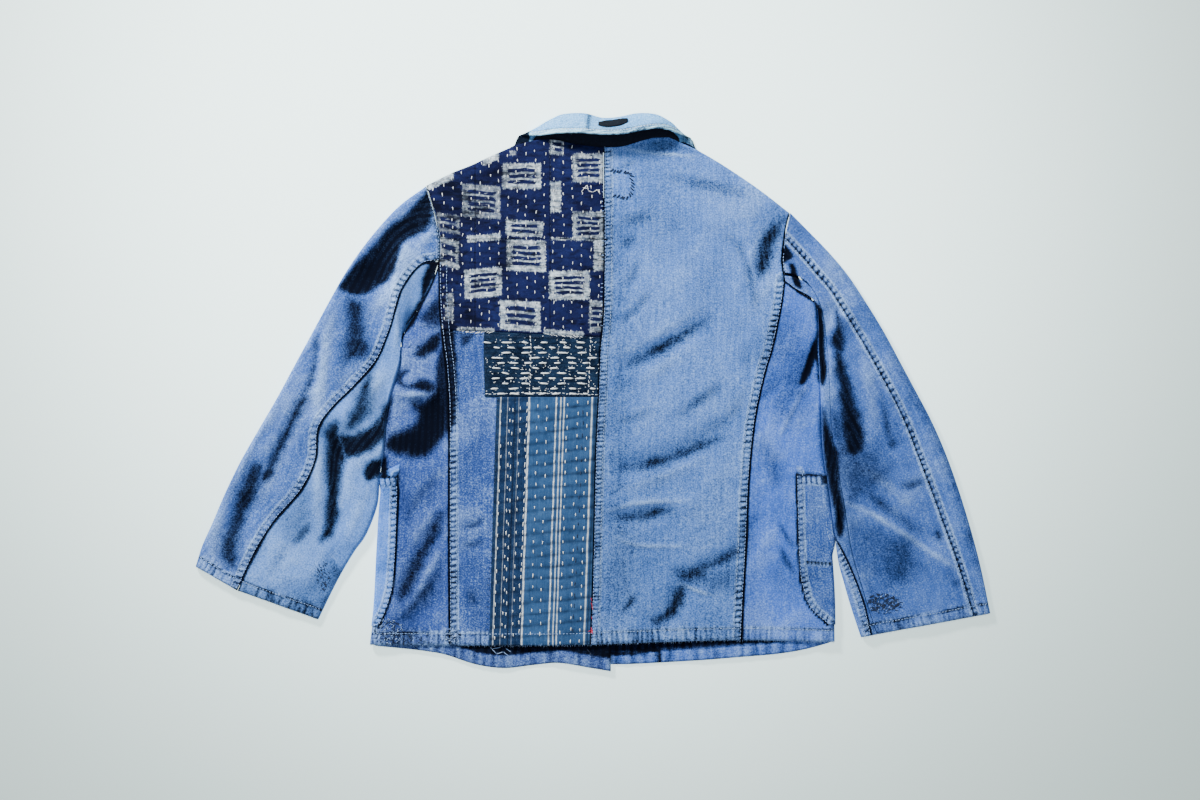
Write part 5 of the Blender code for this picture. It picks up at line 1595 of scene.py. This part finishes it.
TAB_ENDS, TAB_MIDDLE, TAB_HALF = (7, 47), 0.34, 0.24
rows = []
for across in np.linspace(0, 1, 30):
    x = mix(*TAB_ENDS, across)
    half = TAB_HALF * (0.4 + 0.6 * math.sin(math.pi * across)) * (1 + 0.1 * math.sin(9 * across))
    middle = TAB_MIDDLE + 0.12 * (0.6 - across)
    rows.append([fall_at(x, middle + half * s) for s in np.linspace(-1, 1, 12)])
tab = np.array(rows)
facing = unit(normals_of(tab))
facing = facing * np.sign((facing[..., 2]).sum())
tab = tab + facing * (COLLAR / 2 + 0.4 + PATCH / 2)
tab = np.concatenate([tab, np.ones(tab.shape[:2] + (1,))], axis=2)
cloth(
    "collar_tab", [(tab, tab[..., :3], np.zeros(tab.shape[:2] + (3,)))], PATCH,
)
tab_tones = (0.003, 0.004, 0.008), (0.02, 0.026, 0.04), (0, 0, 0.001)
wears("collar_tab", twill("twill_tab", *tab_tones, 0.5, 0))

# %% Buttons
BUTTON_HEIGHTS = (188, 80, -30, -140)
BUTTON_EDGE = (  # how far out, how high above the cloth
    (7.4, 0), (8.2, 0.3), (8.5, 0.9), (8.2, 1.5), (7.4, 1.8), (6.3, 1.7), (5.3, 1.2), (3.6, 1),
)
BUTTON_SIDES = 40


def horn():
    w = Look("button_horn", 0.35, 0, 0.5)
    grain = w.ramp(w.noise(w.cloth, 0.003, 3, 0.6, (4, 1, 1)), 0.35, 0.7)
    off_x, off_y = [w.less(w.math("ABSOLUTE", at), 0.0016) for at in w.parts(w.cloth)[:2]]
    gap = w.math("SQRT", w.sum(w.times(off_x, off_x), w.times(off_y, off_y)))
    hole = w.ramp(gap, 0.0007, 0.0009, 1, 0)
    colour = w.blend(grain, (0.03, 0.018, 0.01), (0.16, 0.1, 0.055))
    colour = w.blend(hole, colour, (0.002, 0.002, 0.002))
    return w.ends(colour, w.sum(w.times(grain, 0.1), w.times(hole, -1)), 0.6)


def button(height):
    """A disc whose edge follows the table round, on the left front."""
    disc = bmesh.new()
    own = disc.verts.layers.float_vector.new("cloth")
    rings = []
    for out, up in BUTTON_EDGE:
        rings.append([])
        for turn in np.linspace(0, 2 * math.pi, BUTTON_SIDES, endpoint=False):
            spot = Vector((out * math.cos(turn), out * math.sin(turn), up)) * MM
            vert = disc.verts.new(spot + Vector((0, height, CLOTH + GAP)) * MM)
            vert[own] = spot
            rings[-1].append(vert)
    for ring, above in zip(rings, rings[1:]):
        for k in range(BUTTON_SIDES):
            disc.faces.new((ring[k - 1], ring[k], above[k], above[k - 1]))
    disc.faces.new(rings[0][::-1])
    disc.faces.new(rings[-1])
    bmesh.ops.recalc_face_normals(disc, faces=disc.faces)
    return disc


HORN = horn()
for number, height in enumerate(BUTTON_HEIGHTS, 1):
    piece = meshed(f"button_{number}_horn", button(height), HORN)
    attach(piece, "root")
    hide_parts(f"button_{number}")
print(len(BUTTON_HEIGHTS), "buttons", len(piece.data.polygons), "faces each")

# %% [markdown]
# Every seam is felled and sewn twice, and every patch is quilted by hand in thick white
# cotton. The stitches are real small threads on the cloth: short bent tubes whose ends go
# down into it. Each is placed by dropping a line onto the sheets, and each group is one
# joined mesh.

# %% Thread tools
DROP_FROM = 0.2  # metres over the floor, from where a line is dropped onto the cloth
TIP, FLAT = 0.55, 0.75  # a thread's end, and its height, as shares of its width
MOST_STEP = 3.5  # between a stitch's lowest and highest point, or it would hang over a gap
sewn_on = {}


def read_surfaces():
    graph = bpy.context.evaluated_depsgraph_get()
    for name, piece in pieces.items():
        sewn_on[name] = BVHTree.FromObject(piece, graph)


def top_at(x, y):
    """Height and name of the uppermost sheet at a place."""
    best = (0, None)
    for name, tree in sewn_on.items():
        spot = tree.ray_cast(Vector((x * MM, y * MM, DROP_FROM)), Vector((0, 0, -1)))[0]
        if spot is not None and spot.z / MM > best[0]:
            best = (spot.z / MM, name)
    return best


def tube_rings(path, radius, sides):
    """Rings of points round a path, drawn in to its ends."""
    path = np.array(path, dtype=float)
    way = np.gradient(path, axis=0)
    way = way / np.maximum(np.linalg.norm(way, axis=1, keepdims=True), 1e-6)
    aside = np.cross(way, (0, 0, 1))
    aside = aside / np.maximum(np.linalg.norm(aside, axis=1, keepdims=True), 1e-6)
    over = np.cross(aside, way)
    size = np.full(len(path), float(radius))
    size[0] = size[-1] = radius * TIP
    turns = np.linspace(0, 2 * math.pi, sides, endpoint=False)
    return [
        path[k] + size[k] * (math.cos(t) * aside[k] + FLAT * math.sin(t) * over[k])
        for k in range(len(path)) for t in turns
    ]


def threads(name, paths, radius, material, sides=5):
    """One joined mesh of tubes along many paths, in millimetres."""
    made = bmesh.new()
    for path in paths:
        verts = [made.verts.new(spot * MM) for spot in tube_rings(path, radius, sides=sides)]
        for k in range(len(path) - 1):
            for s in range(sides):
                a, b = k * sides + s, k * sides + (s + 1) % sides
                made.faces.new((verts[a], verts[b], verts[b + sides], verts[a + sides]))
        made.faces.new(verts[:sides][::-1])
        made.faces.new(verts[-sides:])
    bmesh.ops.recalc_face_normals(made, faces=made.faces)
    piece = meshed(name, made, material)
    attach(piece, "root")
    print(f"{name}: {len(paths)} stitches, {len(piece.data.polygons)} faces")


def laid(start, end, rise, on, dip=0.35):
    """The path of one stitch on the uppermost sheet, or None where it isn't on that sheet."""
    path = []
    for part, up in ((0, -dip), (0.2, rise * 0.8), (0.5, rise), (0.8, rise * 0.8), (1, -dip)):
        x, y = mix(start[0], end[0], part), mix(start[1], end[1], part)
        z, found = top_at(x, y)
        if found is None or (on and found not in on):
            return None
        path.append((x, y, z + up))
    heights = [spot[2] for spot in path]
    return path if max(heights) - min(heights) < MOST_STEP else None


def sewn(segments, rise=0.5, on=None):
    return [path for path in (laid(*segment, rise, on) for segment in segments) if path]


def offset_line(line, distance):
    """A drawn line moved to its left."""
    way = unit(np.gradient(line, axis=0))
    return line + distance * np.stack([-way[:, 1], way[:, 0]], axis=1)


def stitch_run(line, pitch, length, draw, stray=0.25, turn=0):
    """Segments along a line: turn 0 for running stitch, 90 for stitches across it."""
    sizes = run_lengths(line)
    found = []
    at = draw.uniform(0, pitch)
    while at < sizes[-1]:
        x, y = np.interp(at, sizes, line[:, 0]), np.interp(at, sizes, line[:, 1])
        ahead = np.interp(at + 1, sizes, line[:, 0]) - x, np.interp(at + 1, sizes, line[:, 1]) - y
        angle = math.atan2(ahead[1], ahead[0]) + math.radians(turn + draw.normal(0, 5))
        half = length / 2 * (1 + draw.normal(0, 0.12))
        x, y = x + draw.normal(0, stray), y + draw.normal(0, stray)
        dx, dy = half * math.cos(angle), half * math.sin(angle)
        found.append(((x - dx, y - dy), (x + dx, y + dy)))
        at += pitch * (1 + draw.normal(0, 0.08))
    return found


def cotton(name, colour, shade):
    """Thread, a little dirty in places."""
    w = Look(name, 0.85, 0.2)
    return w.ends(w.blend(w.ramp(w.noise(w.place, 0.006, 2), 0.35, 0.7), shade, colour))


WHITE = cotton("thread_white", (0.86, 0.88, 0.86), (0.6, 0.66, 0.7))
BLUE = cotton("thread_blue", (0.36, 0.52, 0.8), (0.16, 0.27, 0.55))
DARK = cotton("thread_dark", (0.008, 0.012, 0.03), (0.02, 0.035, 0.08))
RED = cotton("thread_red", (0.62, 0.03, 0.05), (0.4, 0.02, 0.06))
read_surfaces()

# %% Quilting on the kasuri and the stripes
draw = np.random.default_rng(7)
KASURI_FIELD = (-214, 10, 76, 352)  # left, right, bottom, top
KASURI_PITCH, KASURI_SLOPE = (12.4, 13.8), 0.04
STRIPE_COLUMNS = (-123, -111.5, -108, -97.5, -85.8, -73.5, -61.5, -48.8, -33.8, -19.5, -7)


def brick_order(left, right, bottom, top):
    """Places in brick order, column after column. Rows rise to the right."""
    spots = []
    across, up = KASURI_PITCH
    for i, x in enumerate(np.arange(left, right, across)):
        for y in np.arange(bottom + (i % 2) * up / 2, top, up):
            spots.append((x + draw.normal(0, 1), y + KASURI_SLOPE * x + draw.normal(0, 1.3)))
    return spots


def upright(spots, length, tilt=0.05):
    found = []
    for x, y in spots:
        half, lean = length / 2 * (1 + draw.normal(0, 0.15)), draw.normal(0, tilt)
        found.append(((x - lean * half, y - half), (x + lean * half, y + half)))
    return found


kasuri_ticks = upright(brick_order(*KASURI_FIELD), 3.9, 0.12)
threads("stitches_kasuri", sewn(kasuri_ticks, 0.5, ["patch_kasuri"]), 0.58, WHITE)

stripe_ticks = []
for number, x in enumerate(STRIPE_COLUMNS):
    for y in np.arange(-334, -10, 15.3):
        along_x = x - WARP_LEAN * (-5 - y) + draw.normal(0, 0.5)
        along_y = y + 0.1 * x + (number % 2) * 3 + draw.normal(0, 0.8)
        stripe_ticks += upright([(along_x, along_y)], 4.6)
threads("stitches_stripe", sewn(stripe_ticks, 0.6, ["patch_stripe"]), 0.66, WHITE)

# %% Sashiko rows
sashiko_rows = []
for number, y in enumerate(np.arange(-1, 74, 6.9)):
    for x in np.arange(-143 + (number % 2) * 13, 6, 25.5 if number % 3 else 19):
        half = 5.2 * (1 + draw.normal(0, 0.15))
        x, rise = x + draw.normal(0, 1.2), draw.normal(0, 0.4)
        sashiko_rows.append(((x - half, y - rise), (x + half, y + rise)))
threads("stitches_sashiko", sewn(sashiko_rows, 0.9, ["patch_sashiko"]), 1.15, WHITE)
specks = []
for _ in range(260):
    x, y = draw.uniform(-145, 8), draw.uniform(-2, 78)
    angle, half = draw.choice([0, 1.57]) + draw.normal(0, 0.4), draw.uniform(0.8, 2.2)
    specks.append(((x, y), (x + half * math.cos(angle), y + half * math.sin(angle))))
threads("stitches_sashiko_worn", sewn(specks, 0.3, ["patch_sashiko"]), 0.42, WHITE)

# %% Stitching round the patches
def straight(*spots):
    return curve_through([(float(x), float(y)) for x, y in spots], 3)


BORDERS = (  # places, pitch, length, turn, thread, radius
    (((-142, 78), (-147, -2)), 5.5, 3.2, 90, DARK, 0.5),
    (((-84, 76), (-85, -2)), 5, 3.4, 20, WHITE, 0.55),
    (((-3, 76), (-6, -2)), 6, 4, 10, WHITE, 0.55),
    (((-145, -2), (-70, 0), (6, -3)), 5.2, 3.6, 0, WHITE, 0.5),
    (((-130, -2), (-70, -2), (6, -5)), 4, 3, 60, DARK, 0.5),
    (((-198, 82), (-150, 79), (-100, 76), (8, 75)), 4.4, 3.4, 0, DARK, 0.5),
    (((-183, 84), (-158, 82), (-133, 82)), 3.6, 4.2, 25, WHITE, 0.5),
    (((-66, 80), (-40, 77), (-13, 75)), 3.4, 4.4, -20, WHITE, 0.5),
    (((12, 330), (13, 200), (11, 90)), 6.4, 3.2, 90, BLUE, 0.55),
    (((9, 72), (6, 0), (2, -180), (-3, -330)), 5.4, 3, 90, DARK, 0.6),
    (((-128, -8), (-135, -170), (-144, -332)), 7.5, 3.2, 60, DARK, 0.6),
    (((-200, 207), (-120, 207), (-60, 207), (12, 207)), 7, 2.4, 90, DARK, 0.42),
    (((-158.5, 270), (-158, 206)), 7, 2.4, 0, DARK, 0.42),
    (((-57.5, 335), (-57, 206)), 7, 2.4, 0, DARK, 0.42),
    (((-88, -10), (-100, -330)), 10, 6, 0, WHITE, 0.55),
    (((-13, -20), (-20, -180), (-27, -320)), 16, 6, 0, DARK, 0.6),
)
for number, (spots, pitch, length, turn, thread, radius) in enumerate(BORDERS):
    run = stitch_run(straight(*spots), pitch, length, draw, 0.5, turn)
    threads(f"border_{number + 1}", sewn(run, 0.35), radius, thread)

# %% Felled seams, hems and pockets
ROWS = {  # which offsets from its line carry a row of stitches
    "centre_back": (-10.4, -2.2), "side_left": (-10, -1.8), "side_right": (1.8, 10.4),
    "armhole_left": (1.6,), "armhole_right": (-1.6,), "underarm_right": (-1.6,),
    "elbow_left": (-9.4, -2), "elbow_right": (-2, 5.4), "back_hem": (15.4,),
    "cuff_left": (13.9,), "cuff_right": (13.9,), "inner_right": (-1.8, -8.2),
}
for name, offsets in ROWS.items():
    segments = []
    for offset in offsets:
        segments += stitch_run(offset_line(LINES[name], offset), 4.3, 3, draw, 0.12)
    threads(f"seam_{name}", sewn(segments, 0.32), 0.42, BLUE)
for side, word in WORDS.items():
    edge = curve_through([(x, y) for y, x in POCKET_EDGE[side]], 3)
    segments = []
    for offset in (1.6, 8):
        segments += stitch_run(offset_line(edge, side * -offset), 4.3, 3, draw, 0.12)
    threads(f"seam_pocket_{word}", sewn(segments, 0.3, [f"pocket_{word}"]), 0.42, BLUE)

# %% Darning
def scattered(middle, reach, count, length, turn=0):
    """Short stitches thrown over an oval place."""
    found = []
    for _ in range(count):
        angle, away = draw.uniform(0, 2 * math.pi), math.sqrt(draw.uniform(0, 1))
        x = middle[0] + reach[0] * away * math.cos(angle)
        y = middle[1] + reach[1] * away * math.sin(angle)
        aim, half = math.radians(turn) + draw.normal(0, 0.5), length / 2 * draw.uniform(0.6, 1.3)
        dx, dy = half * math.cos(aim), half * math.sin(aim)
        found.append(((x - dx, y - dy), (x + dx, y + dy)))
    return found


def darn(name, places, rise, radius, thread):
    """Darning over several places: each is middle, reach, count, length and turn."""
    found = [stitch for place in places for stitch in scattered(*place)]
    threads(name, sewn(found, rise), radius, thread)


darn("darning_dark", (
    ((393, -284), (24, 13), 110, 5.2, 12), ((-363, -246), (9, 22), 70, 3, -60),
    ((-190, -327), (12, 10), 70, 3, 40), ((-276, -322), (20, 18), 120, 3.2, 60),
    ((-240, -331), (40, 8), 60, 3, 80),
), 0.35, 0.5, DARK)
darn("darning_pale", (
    ((393, -284), (24, 13), 25, 3, 80), ((-276, -322), (20, 18), 90, 3, 60),
    ((-190, -327), (12, 10), 50, 3, 40),
), 0.4, 0.42, BLUE)

# %% Mends and loose threads
def chain(*spots):
    return list(zip(spots, spots[1:]))


def frayed(line, pitch, reach, drop=1.2):
    """Worn fibres that stand out past an edge, from the cloth beside it on its left."""
    found = []
    for (x, y), (out_x, out_y) in stitch_run(line, pitch, reach, draw, 0.6, -90):
        z, name = top_at(mix(x, out_x, 0.1), mix(y, out_y, 0.1))
        if name:
            bend, low = draw.normal(0, 0.5), max(z - drop, 0.4)
            middle = (mix(x, out_x, 0.6) + bend, mix(y, out_y, 0.6), mix(z, low, 0.4))
            found.append([(x, y, z), middle, (out_x + bend, out_y, low)])
    return found


mend = straight((25, 299), (50, 295), (52, 272), (46, 262), (28, 267))
threads("mend_square", sewn(stitch_run(mend, 4.4, 6.5, draw, 0.6, 55), 0.6), 1.05, DARK)
wisp = chain((-16, 270), (-8, 280), (-6, 272), (0, 270), (6, 274), (10, 267), (15, 270))
wisp += chain((-14, 276), (-5, 275))
threads("wisp_white", sewn(wisp, 0.6), 0.45, WHITE)
collar_edge = fall[-1, fall.shape[1] // 4 : 3 * fall.shape[1] // 4 + 6, :2]
collar_row = stitch_run(offset_line(collar_edge, COLLAR_ROW * 0.7), 4, 2.8, draw, 0.1)
threads("seam_collar", sewn(collar_row, 0.35, ["collar_fall"]), 0.45, WHITE)
red = stitch_run(straight((-1, -277), (-3, -300), (-2, -327)), 5, 5.5, draw, 1.1, 20)
red += scattered((-2, -318), (3, 8), 8, 5, 80)
threads("stitches_red", sewn(red, 0.5), 0.5, RED)
fuzz = []
for name, reach in (("back_hem", 4), ("cuff_left", 3.6), ("cuff_right", 3.6)):
    fuzz += frayed(LINES[name], 2.2, reach)
for side in (-1, 1):
    fuzz += frayed(curve_through(FRONT_HEM[side]), 3, 3.2)
threads("fuzz_hems", fuzz, 0.2, BLUE, 3)
loose = chain((-139, -342), (-130, -352), (-121, -349), (-112, -356))
loose += chain((-136, -345), (-124, -343)) + chain((-118, -344), (-110, -350))
threads("loose_pale", sewn(loose, 0.5), 0.4, BLUE)
tail = chain((-8, -345), (-4, -350), (-2, -355), (3, -357))
threads("loose_dark", sewn(tail, 0.6), 0.5, DARK)
darn("darn_cuff", (((391, -280), (22, 13), 30, 5.5, 8),), 0.4, 0.85, DARK)

# %% [markdown]
# The light is daylight from a window up and to the left, low enough to show the creases,
# with a weak lamp overhead and a pale blue sky to fill the shadows. The floor is a plain
# sheet whose colour is mostly its own glow: painted light, which makes it nearly white
# beside the indigo and lifts the jacket's cast shadows. The glow falls away smoothly from
# the middle, a painted pool of light, so the corners are darker.

# %% Light
sky = bpy.data.worlds.new("studio")
sky.use_nodes = True
bpy.context.scene.world = sky
background = sky.node_tree.nodes["Background"]
background.inputs["Color"].default_value = (0.86, 0.93, 1, 1)
background.inputs["Strength"].default_value = 0.5
LAMPS = {  # place, size, power, colour
    "window": ((-1.3, 1.75, 1.35), 0.4, 172, (1, 0.99, 0.965)),
    "overhead": ((0.4, -0.4, 3), 2.4, 20, (0.92, 0.96, 1)),
}
for name, (place, size, power, colour) in LAMPS.items():
    light = bpy.data.lights.new(name, "AREA")
    light.size = size
    light.energy = power
    light.color = colour
    lamp = standing(name, light)
    lamp.location = place
    lamp.rotation_euler = (-Vector(place)).to_track_quat("-Z", "Y").to_euler()
print(len(LAMPS), "lamps")

# %% Floor
FLOOR_LEVEL = -0.0003  # just under the cloth, in metres
FLOOR_SIZE = 6
# The floor's glow is painted light: a pool of light, brightest near the given middle, that falls
# away to the far colour.
LIT_MIDDLE, LIT_REACH = (-0.06, 0.3, 0), 0.74
FLOOR_FAR, FLOOR_NEAR, FLOOR_GLOW = (0.16, 0.2, 0.19), (0.8, 1, 0.985), 2.1

paper = bpy.data.materials.new("pale_paper")
paper.use_nodes = True
w = Wires(paper.node_tree)
away = w.node("VectorMath", w.node("TexCoord", out=3), LIT_MIDDLE, out=1, operation="DISTANCE")
falloff = w.math("POWER", w.times(away, 1 / LIT_REACH), 4)
pale = w.blend(w.math("DIVIDE", 1, w.sum(1, falloff)), FLOOR_FAR, FLOOR_NEAR)
shader = paper.node_tree.nodes["Principled BSDF"].inputs
w.feed_all(shader, {
    "Base Color": w.blend(0.2, pale, (0, 0, 0)), "Emission Color": pale,
    "Emission Strength": FLOOR_GLOW, "Roughness": 0.95, "Specular IOR Level": 0.1,
})
mesh = bpy.data.meshes.new("floor")
corners = (-1, -1), (1, -1), (1, 1), (-1, 1)
spots = [(x * FLOOR_SIZE, y * FLOOR_SIZE, FLOOR_LEVEL) for x, y in corners]
mesh.from_pydata(spots, [], [(0, 1, 2, 3)])
mesh.materials.append(paper)
standing("floor", mesh)
print("floor, m:", 2 * FLOOR_SIZE)
